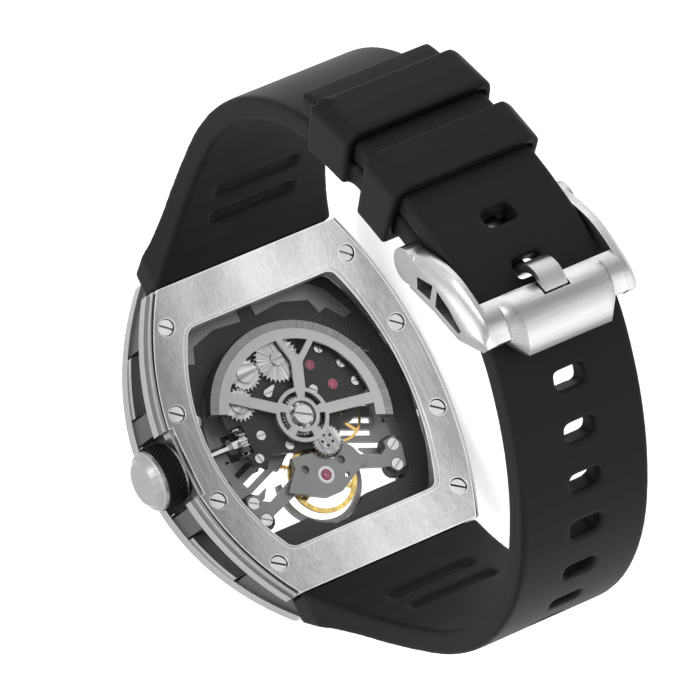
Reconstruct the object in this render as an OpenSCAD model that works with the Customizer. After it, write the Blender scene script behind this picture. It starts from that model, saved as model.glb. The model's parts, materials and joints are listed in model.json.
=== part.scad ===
// Automatic skeleton wristwatch with a curved barrel-shaped case and a buckled rubber strap.
// It lies on its nine o'clock side: +Z is the crown, +Y the caseback and -X twelve o'clock.
// The modules are drawn in the watch's own frame, x to the crown, y to twelve, z out of the dial,
// with z = 0 at the middle of the caseback. place() turns them into the part's frame, whose
// origin is on the flat outer face of the back crystal.

/* [Case] */
// Length of the caseback between its straight ends
back_l = 45; // [44:0.5:46]
// Width of the caseback across its middle
back_mid_w = 40.6; // [40:0.2:41]
// Width of the caseback at its straight ends
back_end_w = 28.6; // [28:0.2:29]
// Radius of the caseback's curve around the wrist
back_r = 76; // [72:1:82]
// Thickness of the caseback plate
back_t = 1.2; // [1:0.1:1.3]
// Length of the bezel
bezel_l = 50.2; // [49.8:0.2:50.6]
// Width of the bezel across its middle
bezel_mid_w = 42.7; // [42.5:0.1:43]
// Width of the bezel at its ends
bezel_end_w = 25.2; // [24.8:0.2:25.6]
// Height of the bezel's front above the caseback
case_t = 11.2; // [11.1:0.1:11.6]
// Radius of the bezel's curve
bezel_r = 56; // [54:1:60]
// Thickness of the bezel plate
bezel_t = 1.9; // [1.8:0.1:2]
// Length of the window in the caseback
window_l = 32.6; // [32:0.2:33]
// Width of that window across its middle
window_mid_w = 31.5; // [31:0.1:31.6]
// Width of that window at its ends
window_end_w = 23.2; // [22.8:0.2:23.6]
// Width of each strut along the sides
strut_w = 3.2; // [2.8:0.2:3.4]
// Place of the outer struts from the middle
strut_far = 18.4; // [18:0.1:18.6]
// Place of the inner struts from the middle
strut_near = 7; // [6.8:0.1:7.4]

/* [Crown] */
// Radius of the rubber grip
grip_r = 4.35; // [4:0.05:4.4]
// Height of the stem above the caseback
stem_z = 4.7; // [4.65:0.05:4.75]
// Radius of the stem
stem_r = 0.6; // [0.5:0.05:0.65]
// Outer end of the crown
crown_end = 24.7; // [24.4:0.1:25.2]

/* [Strap] */
// Thickness of the rubber strap
strap_t = 3.4; // [3.2:0.1:3.5]
// Width of the strap at the buckle
strap_w = 20; // [19.6:0.2:20.2]
// Width of the strap where it leaves the case
strap_case_w = 28.4; // [28:0.2:28.6]
// Distance from one strap hole to the next
hole_pitch = 6.9; // [6.7:0.1:7.1]
// Length of a strap hole across the strap
hole_w = 4.6; // [4.4:0.1:4.8]
// Length of a strap hole along the strap
hole_l = 2.7; // [2.6:0.1:2.9]
// Outer width of the keepers
keeper_w = 22.8; // [22.6:0.1:23.2]

/* [Movement] */
// Outer radius of the movement's main plate
plate_r = 12.9; // [12.7:0.1:13]
// Outer radius of the rotor's weight
rotor_r = 13.3; // [13.1:0.1:13.4]
// Outer radius of the balance wheel
balance_r = 5; // [4.8:0.1:5.05]
// Turns of the hairspring
hair_turns = 4; // [3:1:4]
// Distance between the hairspring's turns
hair_pitch = 0.56; // [0.54:0.01:0.57]
// Turns of the mainspring
main_turns = 4; // [3:1:4]

/* [Hidden] */

$fn = 64;
gap = 0.05;
run_gap = 0.04;
corner_overlap = 0.02;

// Levels along z, from the caseback towards the dial
crystal_z = 0.35;
crystal_t = 0.9;
lip_z = 1.9;
frame_z = 3.2;
rotor_z = 1.75;
rotor_t = 0.45;
weight_z1 = 3.6;
gear_z = 2.35;
gear_t = 0.4;
ratchet_z = 2.5;
ratchet_t = 0.5;
bridge_z = 3.1;
bridge_t = 0.9;
arm_z = 3.75;
arm_t = 0.7;
holder_z = arm_z + arm_t;
holder_z1 = 7.4;
plate_z = 6;
plate_t = 0.8;
plate_eye_r = 6.3;
dial_z = plate_z + plate_t;
center_z = dial_z + 0.15;
motion_z = center_z + 0.32;
hour_z = 8.05;
minute_z = 8.35;
drum_z = 4.15;
jewel_z = bridge_z + 0.45;
rim_z = 4.55;
hair_z = 4.12;
hair_r = 0.55;
hair_end = 60;
stud_r = hair_r + hair_pitch * hair_turns - 0.2;

// Places in the movement, seen from the dial side as x, y
barrel_p = [-0.45, 8.4];
transfer_p = [4.94, 8.1];
crown_p = [7.62, 4.61];
inter_p = [-4.9, 6];
third_p = [-6.8, 2.4];
fourth_p = [-6.1, -1.75];
escape_p = [-2.9, -3.95];
pallet_p = [-1.55, -6.1];
pallet_post = [-5.1, -6.3];
balance_p = [0, -8.6];
auto_p = [-1.95, -4.39];
motion_p = [2.6, 1.9];
motion_post = [7.4, 3.6];
click_p = [2.9, 4.6];
shaft_r = 0.2;
pivot_r = 0.1;
arm_screws = [[11.4, -8.3], [10.7, -11]];
bridge_screws = [[6.5, -0.3], [3.2, -3], [8.2, -3.1], [-7, 7.6], [-9.2, 4.6], [-10, 1.6], [-3.6, 2.7]];
bridge_posts = [[5.2, -2], [8.2, 6.6]];
train_posts = [[-8.2, 7.2], [-10.95, 0.95]];
holder_screws = [20, 160];
bar_rest = [12.6, -9.6];

// Teeth of each gear
ratchet_n = 32;
transfer_n = 22;
crown_n = 22;
pinion_n = 16;
drum_n = 74;
inter_pinion_n = 10;
inter_n = 17;
center_n = 80;
third_pinion_n = 10;
third_n = 75;
fourth_pinion_n = 10;
fourth_n = 84;
escape_pinion_n = 7;
escape_n = 15;
cannon_n = 12;
motion_n = 36;
motion_pinion_n = 10;
hour_n = 40;
rotor_n = 36;
auto_n = 28;

// Modules and first teeth, each from the gear before it
ratchet_m = 2 * norm(transfer_p - barrel_p) / (ratchet_n + transfer_n);
motion_m = 2 * norm(motion_p) / (cannon_n + motion_n);
ratchet_a = atan2(transfer_p[1] - barrel_p[1], transfer_p[0] - barrel_p[0]);
transfer_a = follow(barrel_p, ratchet_n, ratchet_a, transfer_p, transfer_n);
crown_a = follow(transfer_p, transfer_n, transfer_a, crown_p, crown_n);
drum_a = toward(barrel_p, inter_p);
inter_a = toward(inter_p, [0, 0]);
center_a = follow(inter_p, inter_n, inter_a, [0, 0], center_n);
cannon_a = toward([0, 0], motion_p);
third_a = toward(third_p, fourth_p);
fourth_a = toward(fourth_p, escape_p);
rotor_a = toward([0, 0], auto_p);

// Case outlines and places
back_pocket = 0.16;
gasket_t = 0.3;
flange_t = 1;
lip_out = 1.2;
frame_out = 2;
cavity_l = back_l - 8.8;
cavity_mid_w = back_mid_w - 6.2;
cavity_end_w = back_end_w - 2.4;
wall_l = back_l - 4;
wall_mid_w = back_mid_w - 3;
wall_end_w = back_end_w - 2;
seal_in = 0.3;
seal_out = 1.1;
back_seal_in = 3;
back_seal_w = 0.9;
crystal_step = 0.35;
crystal_gap = 0.05;
strut_l = bezel_l - 0.8;
strut_mid_w = bezel_mid_w - 0.7;
strut_end_w = bezel_end_w - 0.6;
pad_t = 1.1;
notch_w = 9.8;
notch_x = back_mid_w / 2 - 0.9;
end_screw_y = back_l / 2 - 5;
back_screws = [
    [barrel_x(back_l, back_mid_w, back_end_w, end_screw_y) - 2.1, end_screw_y],
    [barrel_x(back_l, back_mid_w, back_end_w, 6.43) - 1.9, 6.43]
];
front_screws = [[6.2, bezel_l / 2 - 2.5], [15.3, 17.6], [18.6, 6.6]];
front_l = 34;
front_mid_w = 32.6;
front_end_w = 24;
crown_start = back_mid_w / 2 - 0.4;

// The strap loop, as an inner outline of arcs: [radius, angle turned], from the case end
loop_start = [back_l / 2 + 0.12, 3.45];
short_head = 56;
short_arcs = [[88.3, 15.4], [27.7, 71], [68.3, 18.5]];
long_head = 51;
long_arcs = [[88.3, 16.1], [30.2, 60.8], [46, 30]];
layer_gap = 0.35;
neck_l = 10;
neck_extra = 1.6;
bar_p = [back_l / 2 + 0.5, 1.9];
bar_r = 0.8;
spring_r = 0.9;
cheek_x = 11.6;
cheek_y = back_l / 2 - 2.8;
cheek_z = 0.8;
keeper_wall = 1.6;
keeper_gap = 0.1;
keeper_chamfer = 1.4;
flare_l = 57.6;
flare_power = 3.7;
hole_corner = 0.85;

// One arc of a path: a state is [point, heading], u outwards from the dial and w towards the wrist
function turn(s, r, a) = let(h = s[1]) [
    s[0] + r * ([-sin(h), cos(h)] + [sin(h + a), -cos(h + a)]),
    h + a
];
// The state after the first n arcs
function walk(s, arcs, n) = n == 0 ? s : let(q = walk(s, arcs, n - 1)) turn(q, arcs[n - 1][0], arcs[n - 1][1]);
// Length of the first n arcs
function arc_len(arcs, n) = n == 0 ? 0 : arc_len(arcs, n - 1) + arcs[n - 1][0] * arcs[n - 1][1] * PI / 180;
// The state at a length along the arcs
function locate(s, arcs, d, i = 0) =
    let(l = arcs[i][0] * arcs[i][1] * PI / 180)
    i == len(arcs) - 1 || d <= l ? turn(s, arcs[i][0], d / arcs[i][0] * 180 / PI)
        : locate(turn(s, arcs[i][0], arcs[i][1]), arcs, d - l, i + 1);
// Centre of arc n
function arc_center(s, arcs, n) = let(q = walk(s, arcs, n)) q[0] + arcs[n][0] * [-sin(q[1]), cos(q[1])];
// Sampled states [point, heading, length] every few degrees
function samples(s, arcs) = [
    for (i = [0:len(arcs) - 1])
        let(q = walk(s, arcs, i), d = arc_len(arcs, i), n = ceil(arcs[i][1] / 3.5))
        for (k = [(i == 0 ? 0 : 1):n])
            let(e = turn(q, arcs[i][0], arcs[i][1] * k / n))
            [e[0], e[1], d + arcs[i][0] * arcs[i][1] * k / n * PI / 180]
];
function outward(h) = [sin(h), -cos(h)];
// The strap is thicker where it leaves the case
function strap_thick(d) = d > neck_l ? strap_t : strap_t + neck_extra * pow(1 - d / neck_l, 2);

short_s = [loop_start, short_head];
long_s = [loop_start, long_head];
keeper_c = arc_center(short_s, short_arcs, 2);
shoulder_c = arc_center(short_s, short_arcs, 1);
short_turn = walk(short_s, short_arcs, 2)[1];
short_end = walk(short_s, short_arcs, 3)[1];
spring_p = keeper_c + (short_arcs[2][0] + strap_t / 2) * outward(short_end);

// After its own arcs the long strap runs tangent into the stretch that lies on the short strap
tip_c = [-keeper_c[0], keeper_c[1]];
tip_r = short_arcs[2][0] + strap_t + layer_gap;
long_b = walk(long_s, long_arcs, len(long_arcs));
long_n = [-sin(long_b[1]), cos(long_b[1])];
long_d = long_b[0] - tip_c;
under_r = (tip_r * tip_r - long_d * long_d) / (2 * (long_n * long_d + tip_r));
under_c = long_b[0] + under_r * long_n;
tip_dir = (under_c - tip_c) / norm(under_c - tip_c);
tip_head = 180 - atan2(tip_dir[0], tip_dir[1]);
lap_head = 360 - short_turn;
tip_sweep = 9;
long_all = concat(long_arcs, [
    [under_r, tip_head - long_b[1]],
    [tip_r, lap_head - tip_head],
    [short_arcs[1][0] + strap_t + layer_gap, tip_sweep]
]);
arm_x0 = 10.3;
arm_x1 = 12.6;
arm_boss_r = 2.5;
tang_reach = 6.9;
tang_u = tang_reach - spring_p[0];
tang_w = 3.6;
tang_boss_r = 1.7;
tang_head = 180 - asin((tang_u - under_c[0]) / under_r);
tang_len = arc_len(long_all, len(long_arcs)) + under_r * (tang_head - long_b[1]) * PI / 180;

// From the watch's frame to the part's frame
module place() {
    multmatrix([[0, -1, 0, 0], [0, 0, -1, crystal_z], [1, 0, 0, 0], [0, 0, 0, 1]]) children();
}

// A 2D shape drawn as y, z and drawn out along x
module along_x(w) {
    multmatrix([[0, 0, 1, 0], [1, 0, 0, 0], [0, 1, 0, 0], [0, 0, 0, 1]])
        linear_extrude(w, center = true) children();
}

// A 2D shape drawn as x, z and drawn out along y
module along_y(w) {
    rotate([90, 0, 0]) linear_extrude(w, center = true) children();
}

module rod_x(r, x0, x1) {
    translate([x0, 0, 0]) rotate([0, 90, 0]) cylinder(r = r, h = x1 - x0);
}

module disc(r, z0, z1) {
    translate([0, 0, z0]) cylinder(r = r, h = z1 - z0);
}

module ring(r1, r0, z0, z1) {
    difference() {
        disc(r1, z0, z1);
        disc(r0, z0 - 1, z1 + 1);
    }
}

// Half width of a barrel outline at the place y along it
function barrel_x(l, mid_w, end_w, y) =
    let(s = (mid_w - end_w) / 2, r = (l * l / 4 + s * s) / (2 * s)) mid_w / 2 - r + sqrt(r * r - y * y);

// Barrel outline with straight ends and arc sides
module tonneau(l, mid_w, end_w) {
    s = (mid_w - end_w) / 2;
    r = (l * l / 4 + s * s) / (2 * s);
    intersection() {
        translate([mid_w / 2 - r, 0]) circle(r = r, $fn = 200);
        translate([r - mid_w / 2, 0]) circle(r = r, $fn = 200);
        square([mid_w + 2, l], center = true);
    }
}

// The same outline with its four corners rounded
module round_tonneau(l, mid_w, end_w, rc) {
    s = (mid_w - end_w) / 2;
    r = (l * l / 4 + s * s) / (2 * s);
    cy = l / 2 - rc;
    cx = mid_w / 2 - r + sqrt(pow(r - rc, 2) - cy * cy) + corner_overlap;
    intersection() {
        tonneau(l, mid_w, end_w);
        union() {
            square([mid_w + 2, 2 * cy * r / (r - rc)], center = true);
            square([2 * cx, l + 2], center = true);
            for (x = [-1, 1], y = [-1, 1]) translate([x * cx, y * cy]) circle(r = rc);
        }
    }
}

// Everything on the wrist side of a curved surface whose crest is at z
module dome(z, r) {
    translate([0, 0, z - r]) rotate([0, 90, 0]) cylinder(r = r, h = 60, center = true, $fn = 200);
}

// A curved sheet between two such surfaces, cut to the outline
module sheet(z0, r0, z1, r1) {
    intersection() {
        translate([0, 0, -12]) linear_extrude(28) children();
        difference() {
            dome(z1, r1);
            dome(z0, r0);
        }
    }
}

// A sheet that follows the caseback's curve, and one that follows the bezel's
module back_sheet(z0, z1) {
    sheet(z0, back_r + z0, z1, back_r + z1) children();
}

module bezel_sheet(z0, z1) {
    sheet(z0, bezel_r - case_t + z0, z1, bezel_r - case_t + z1) children();
}

// The four mirrored places of a point, upright on the caseback's or on the bezel's curve
module on_curve(p, z, r) {
    for (x = [-1, 1], y = [-1, 1])
        translate([x * p[0], 0, z - r]) rotate([-y * asin(p[1] / r), 0, 0]) translate([0, 0, r]) children();
}

module on_back(points) {
    for (p = points) on_curve(p, 0, back_r) children();
}

module on_bezel(points) {
    for (p = points) on_curve(p, case_t, bezel_r) children();
}

// A slotted screw whose head faces the wrist at z = 0 and whose shank points to the dial
module slotted_screw(head_r, head_t, shank_r, l, slot_w, turned) {
    difference() {
        union() {
            disc(head_r, 0, head_t);
            disc(shank_r, head_t / 2, l);
        }
        rotate(turned) translate([-head_r - 1, -slot_w / 2, -1]) cube([2 * head_r + 2, slot_w, 1 + head_t * 0.45]);
    }
}

// Tooth outline of a gear with modulus m, its first tooth turned to the angle a
function gear_points(n, m, a) = [
    for (i = [0:n - 1], k = [[-0.23, -0.95], [-0.1, 0.75], [0.1, 0.75], [0.23, -0.95]])
        let(b = a + (i + k[0]) * 360 / n, r = m * (n / 2 + k[1])) r * [cos(b), sin(b)]
];

module gear(n, m, a, z0, z1) {
    translate([0, 0, z0]) linear_extrude(z1 - z0) polygon(gear_points(n, m, a));
}

// Modulus that meshes two gears at their places, and the direction from one to the other
function mesh(p, q, n1, n2) = 2 * norm(q - p) / (n1 + n2);
function toward(p, q) = atan2(q[1] - p[1], q[0] - p[0]);
// First tooth of the second gear, so that it meshes with the first one turned to a1
function follow(p, n1, a1, q, n2) = let(d = toward(p, q), f = (d - a1) * n1 / 360)
    d + 180 + 180 / n2 + (f - round(f)) * 360 / n2;

// A train wheel: toothed rim, spokes and hub
module spoked(n, m, a, z0, z1, hub_r, spokes, rim) {
    difference() {
        gear(n, m, a, z0, z1);
        translate([0, 0, z0 - 1]) linear_extrude(z1 - z0 + 2) difference() {
            circle(r = m * (n / 2 - 0.95) - rim);
            circle(r = hub_r);
            for (i = [0:spokes - 1]) rotate(a + i * 360 / spokes) translate([0, -0.2]) square([m * n, 0.4]);
        }
    }
}

// A flat spiral of ribbon as one swept tube: r0 inside, pitch per turn, ribbon t thick and w high
module spiral(r0, pitch, turns, t, w, a0, z0) {
    n = 24 * turns;
    corners = [[-t / 2, 0], [t / 2, 0], [t / 2, w], [-t / 2, w]];
    pts = [
        for (i = [0:n], c = corners)
            let(a = a0 + i * 360 / 24, r = r0 + pitch * i / 24 + c[0]) [r * cos(a), r * sin(a), z0 + c[1]]
    ];
    sides = [
        for (i = [0:n - 1], k = [0:3])
            let(j = (k + 1) % 4, p = 4 * i) each [[p + k, p + j, p + 4 + j], [p + k, p + 4 + j, p + 4 + k]]
    ];
    ends = [[0, 2, 1], [0, 3, 2], [4 * n, 4 * n + 1, 4 * n + 2], [4 * n, 4 * n + 2, 4 * n + 3]];
    echo(spiral_least_gap = min([for (i = [0:n - 24]) norm(pts[4 * (i + 24)] - pts[4 * i + 1])]));
    polyhedron(points = pts, faces = [for (f = concat(sides, ends)) [f[0], f[2], f[1]]]);
}

// Case

module back_window(extra) {
    round_tonneau(window_l + extra, window_mid_w + extra, window_end_w + extra, 1.8 + extra / 2);
}

module front_window(extra) {
    round_tonneau(front_l + extra, front_mid_w + extra, front_end_w + extra, 2.2 + extra / 2);
}

module crown_notch(x, w) {
    translate([x, -w / 2, -5]) cube([10, w, 14]);
}

module caseback() {
    color("silver") place() difference() {
        union() {
            back_sheet(0, back_t) tonneau(back_l, back_mid_w, back_end_w);
            difference() {
                translate([0, 0, -2.6]) linear_extrude(2.6 + crystal_z + crystal_t) back_window(2.4);
                dome(0.4, back_r + 0.4);
            }
        }
        translate([0, 0, -6]) linear_extrude(12) back_window(0);
        translate([0, 0, crystal_z + crystal_step - crystal_gap]) linear_extrude(4) back_window(1.3);
        difference() {
            translate([0, 0, -6]) linear_extrude(7) back_window(0.9);
            back_sheet(0.16, 4) square(80, center = true);
        }
        on_back(back_screws) disc(1.2, -1, 3);
        crown_notch(notch_x, notch_w);
    }
}

module caseback_crystal() {
    color("lightcyan", 0.35) place() translate([0, 0, crystal_z]) {
        linear_extrude(crystal_t) back_window(-2 * crystal_gap);
        translate([0, 0, crystal_step]) linear_extrude(crystal_t - crystal_step) back_window(1.2);
    }
}

module seal_outline(x, w) {
    difference() {
        tonneau(cavity_l + x + w, cavity_mid_w + x + w, cavity_end_w + x + w);
        tonneau(cavity_l + x, cavity_mid_w + x, cavity_end_w + x);
    }
}

module caseback_gasket() {
    color("black") place() difference() {
        back_sheet(back_t, back_t + 0.35) seal_outline(back_seal_in, back_seal_w);
        on_back(back_screws) disc(0.75, 0, 4);
    }
}

module caseback_screws() {
    color("gainsboro") place() on_back(back_screws)
        translate([0, 0, 0.28]) slotted_screw(1.08, back_t - 0.02 - 0.28, 0.58, 3.2, 0.3, 35);
}

module rear_frame() {
    color("silver") place() difference() {
        union() {
            back_sheet(0.35, lip_z) tonneau(back_l, back_mid_w + lip_out, back_end_w + lip_out);
            back_sheet(lip_z - 0.3, frame_z) tonneau(back_l, back_mid_w + frame_out, back_end_w + frame_out);
        }
        difference() {
            translate([0, 0, -12]) linear_extrude(20)
                tonneau(back_l + 2, back_mid_w + back_pocket, back_end_w + back_pocket - 0.5);
            back_sheet(back_t, 9) square(80, center = true);
        }
        translate([0, 0, -12]) linear_extrude(24) tonneau(cavity_l, cavity_mid_w, cavity_end_w);
        translate([0, 0, stem_z]) rod_x(1.64, 14, 24);
        back_sheet(back_t - 0.1, back_t + 0.35) seal_outline(back_seal_in - 0.1, back_seal_w + 0.2);
        on_back(back_screws) {
            disc(1.2, 0, back_t + 0.02);
            disc(0.62, 0, 6);
        }
        crown_notch(notch_x + 0.2, notch_w);
    }
}

module strut_outline() {
    tonneau(strut_l, strut_mid_w, strut_end_w);
}

module case_band() {
    color("dimgray") place() difference() {
        union() {
            between_frames() tonneau(wall_l, wall_mid_w, wall_end_w);
            between_frames() intersection() {
                strut_outline();
                for (s = [-1, 1], y = [strut_near, strut_far])
                    translate([0, s * y]) square([50, strut_w], center = true);
            }
            for (x = [-1, 1], y = [-1, 1]) cheek(x, y);
        }
        translate([0, 0, -12]) linear_extrude(30) tonneau(cavity_l, cavity_mid_w, cavity_end_w);
        bezel_sheet(case_t - bezel_t - gasket_t, case_t) seal_outline(seal_in - 0.1, seal_out - seal_in + 0.2);
        for (y = [-1, 1]) translate([0, y * bar_p[0], bar_p[1]]) rod_x(bar_r + 0.02, -13.2, 13.2);
        translate([0, 0, stem_z]) rod_x(1.6, 14, 22);
        on_back(back_screws) disc(0.62, 0, 3.6);
        on_bezel(front_screws) disc(0.68, -3, 1);
    }
}

// The space between the rear frame and the bezel, cut to the outline
module between_frames() {
    sheet(frame_z, back_r + frame_z, case_t - bezel_t, bezel_r - bezel_t) children();
}

// A block at each corner that carries the end of a strap bar
module cheek(x, y) {
    intersection() {
        translate([0, 0, cheek_z]) linear_extrude(9) intersection() {
            strut_outline();
            translate([x > 0 ? cheek_x : -cheek_x - 6, y > 0 ? cheek_y : -cheek_y - 4.9]) square([6, 4.9]);
        }
        dome(case_t - bezel_t, bezel_r - bezel_t);
    }
}

module bezel_gasket() {
    color("black") place()
        bezel_sheet(case_t - bezel_t - gasket_t, case_t - bezel_t) seal_outline(seal_in, seal_out - seal_in);
}

module bezel() {
    color("silver") place() difference() {
        union() {
            bezel_sheet(case_t - bezel_t, case_t) round_tonneau(bezel_l, bezel_mid_w, bezel_end_w, 1.2);
            bezel_sheet(case_t - bezel_t - pad_t, case_t - bezel_t + 0.3) difference() {
                tonneau(41.6, bezel_mid_w - 0.5, 31.2);
                tonneau(44, wall_mid_w + 0.5, wall_end_w + 0.5);
                for (s = [-1, 1], y = [strut_near, strut_far])
                    translate([0, s * y]) square([50, strut_w + 0.7], center = true);
                square([50, notch_w], center = true);
                for (s = [-1, 1]) translate([0, s * (cheek_y + 4.8)]) square([60, 10], center = true);
            }
        }
        translate([0, 0, -6]) linear_extrude(24) front_window(0);
        difference() {
            translate([0, 0, -6]) linear_extrude(24) front_window(1.2);
            bezel_sheet(case_t - 0.7, case_t + 2) square(80, center = true);
        }
        on_bezel(front_screws) {
            disc(1.15, -0.9, 3);
            disc(0.65, -6, 3);
        }
    }
}

module front_crystal() {
    color("lightcyan", 0.35) place() bezel_sheet(case_t - 1.5, case_t - 0.7) front_window(1.1);
}

// Screws through the bezel, each with a six-sided socket
module bezel_screws() {
    color("gainsboro") place() on_bezel(front_screws) difference() {
        union() {
            disc(1.1, -0.9, -0.12);
            disc(0.6, -2.1, -0.5);
        }
        disc(0.6, -0.6, 1, $fn = 6);
    }
}

// Crown and stem

module crown_tube() {
    color("silver") place() translate([0, 0, stem_z]) difference() {
        rod_x(1.62, 17.3, 20.4);
        rod_x(stem_r + run_gap, 10, 30);
    }
}

module crown_cap() {
    color("silver") place() translate([0, 0, stem_z]) difference() {
        union() {
            rod_x(4.05, crown_start, crown_start + 0.45);
            rod_x(3.1, crown_start, crown_end - 1);
            rod_x(4.2, crown_end - 1.6, crown_end - 1.05);
            translate([crown_end - 1.05, 0, 0]) rotate([0, 90, 0]) cylinder(r1 = 4.2, r2 = 3.9, h = 0.3);
            translate([crown_end - 0.75, 0, 0]) rotate([0, 90, 0]) cylinder(r1 = 3.7, r2 = 3, h = 0.75);
        }
        rod_x(1.75, crown_start - 1, 22);
        rod_x(stem_r, 21, 23);
    }
}

module crown_grip() {
    ribs = 40;
    x0 = crown_start + 0.45;
    x1 = crown_end - 1.6;
    color("black") place() translate([0, 0, stem_z]) difference() {
        rod_x(grip_r, x0, x1);
        rod_x(3.1, x0 - 1, x1 + 1);
        for (i = [0:ribs - 1]) rotate([i * 360 / ribs, 0, 0])
            translate([(x0 + x1) / 2, grip_r + 0.05, 0]) rotate([0, 38, 0]) cube([6, 0.5, 0.32], center = true);
    }
}

module winding_stem() {
    color("lightgray") place() translate([0, 0, stem_z]) union() {
        rod_x(stem_r, 11.2, 23);
        translate([9.2, 0, 0]) cube([5, 0.72, 0.72], center = true);
    }
}

module winding_pinion() {
    color("lightgray") place() translate([0, 0, stem_z]) difference() {
        union() {
            translate([8.6, 0, 0]) rotate([0, 90, 0]) gear(pinion_n, 0.24, 0, 0, 1);
            rod_x(1.1, 8.4, 10.6);
        }
        translate([9, 0, 0]) cube([9, 0.8, 0.8], center = true);
    }
}

// Dial side

module flange_ring() {
    color("dimgray") place() bezel_sheet(case_t - bezel_t - flange_t, case_t - bezel_t) difference() {
        tonneau(cavity_l - 0.2, cavity_mid_w - 0.2, cavity_end_w - 0.2);
        round_tonneau(30.2, 27.8, 20.4, 2);
    }
}

// Bars at the hours, on the flange
module hour_markers() {
    color("white") place()
        bezel_sheet(case_t - bezel_t, case_t - bezel_t + 0.15) difference() {
            intersection() {
                round_tonneau(33.6, 31.6, 23.6, 2);
                for (i = [0:11]) rotate(i * 30) translate([-0.55, 12]) square([1.1, 12]);
            }
            round_tonneau(30.8, 28.4, 21, 2);
        }
}

module hand(l, w, z, t, hub_r, bore) {
    difference() {
        union() {
            disc(hub_r, z, z + t);
            translate([0, 0, z]) linear_extrude(t)
                polygon([[-w * 0.35, 0], [-w / 2, l * 0.72], [0, l], [w / 2, l * 0.72], [w * 0.35, 0], [0.4, -2.6], [-0.4, -2.6]]);
        }
        disc(bore, z - 1, z + t + 1);
        translate([0, 0, z - 1]) linear_extrude(t + 2)
            polygon([[-w * 0.14, l * 0.3], [-w * 0.22, l * 0.7], [0, l * 0.86], [w * 0.22, l * 0.7], [w * 0.14, l * 0.3]]);
    }
}

module hour_hand() {
    color("white") place() rotate(52) hand(8, 1.9, hour_z, 0.18, 1.2, 0.8);
}

module minute_hand() {
    color("white") place() rotate(-58) hand(10.4, 1.6, minute_z, 0.18, 1, 0.4);
}

// A stud plate over the motion wheel, on a post outside the centre wheel
module motion_bridge() {
    color("gray") place() difference() {
        union() {
            translate([0, 0, motion_z + 0.52]) linear_extrude(0.16)
                polygon([[2.3, 1.4], [2.9, 1.3], [7.4, 2.6], [8.4, 3.5], [8.2, 4.5], [7.2, 4.6], [6.4, 3.9], [2.6, 2.4]]);
            at(motion_post) disc(0.8, dial_z, motion_z + 0.6);
            at(motion_p) disc(shaft_r, motion_z - 0.03, motion_z + 0.6);
        }
    }
}

// Movement: plates and bridges

module at(p) {
    translate([p[0], p[1], 0]) children();
}

module plate_foot(grow) {
    translate([-1.4 - grow, -15 - grow]) square([2.8 + 2 * grow, 1.4]);
}

module holder_opening() {
    circle(r = 13.5);
    translate(balance_p) circle(r = plate_eye_r + gap);
    plate_foot(gap);
    polygon([[-12.2, -12.9], [12.2, -12.9], [13.6, -6], [13.6, -1], [-13.6, -1], [-13.6, -6]]);
}

module movement_holder() {
    color("dimgray") place() difference() {
        union() {
            intersection() {
                translate([0, 0, holder_z]) linear_extrude(holder_z1 - holder_z) difference() {
                    tonneau(cavity_l - 0.3, cavity_mid_w - 0.3, cavity_end_w - 0.3);
                    holder_opening();
                }
                dome(case_t - bezel_t - flange_t - 0.05, bezel_r - bezel_t - flange_t - 0.05);
            }
            translate([0, 0, dial_z]) linear_extrude(holder_z1 - dial_z) intersection() {
                difference() {
                    circle(r = 13.8);
                    circle(r = 12.3);
                }
                translate([-20, -1]) square([40, 11]);
            }
            translate([0, 0, holder_z]) linear_extrude(plate_z - holder_z) for (x = [-1, 1]) {
                for (p = arm_screws) translate([x * p[0], p[1]]) circle(r = 1.45);
                translate([x * bar_rest[0], bar_rest[1]]) rotate(x * 75) square([4.4, 2.6], center = true);
            }
        }
        for (x = [-1, 1], p = arm_screws) translate([x * p[0], p[1], 0]) disc(0.52, 0, 9);
        translate([0, 0, stem_z]) rod_x(1.1, 10, 20);
        for (a = holder_screws) rotate(a) translate([14.6, 0, 0]) disc(0.4, 3, 9);
    }
}

// Bars with slots that join the middle of the plate to its lower corners
module plate_arm(x) {
    mirror([x < 0 ? 1 : 0, 0]) difference() {
        polygon([[3, 0.6], [9, -0.9], [13.2, -2.6], [12.9, -6.4], [12.6, -9.4], [9.6, -9.6], [7.6, -6.7], [3.2, -4.4]]);
        for (i = [0:3]) translate([4.6 - i * 0.62, -1.4 - i * 1.62]) rotate(-21) {
            translate([i == 3 ? 4.6 : 2.2, -0.42]) square([i % 2 == 0 ? 6.6 : (i == 3 ? 3 : 5), 0.84]);
            translate([i == 3 ? 7.6 : (i % 2 == 0 ? 8.8 : 7.2), 0]) circle(r = 0.42);
            translate([i == 3 ? 4.6 : 2.2, 0]) circle(r = 0.42);
        }
    }
}

module main_plate_outline() {
    difference() {
        union() {
            circle(r = 5.2);
            difference() {
                circle(r = plate_r);
                circle(r = 11.7);
                translate([-20, -23]) square([40, 17]);
            }
            translate(barrel_p) circle(r = 4.45);
            translate([-6.6, 1.9]) circle(r = 5.1);
            polygon([[-11.5, 1], [-12.4, 3], [-8, 9.9], [-3, 9]]);
            polygon([[3, -2.6], [8.2, -2.6], [12.4, -1], [12.2, 4], [8.2, 9.8], [2, 9]]);
            plate_arm(1);
            plate_arm(-1);
            translate(balance_p) difference() {
                circle(r = plate_eye_r);
                translate([-9, 1.5]) square([18, 9]);
            }
            plate_foot(0);
            polygon([[-4.4, -2], [-5.2, -6], [0, -7.4], [3, -4.2]]);
        }
        translate(balance_p) intersection() {
            circle(r = 5.55);
            difference() {
                circle(r = 6);
                translate([-5.9, 1.2]) square([7.4, 6]);
            }
        }
        for (p = [[2.9, 5.6], [7, 0.2]]) translate(p) circle(r = 1.1);
        translate([-9.8, 6.2]) circle(r = 1.3);
    }
}

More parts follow.
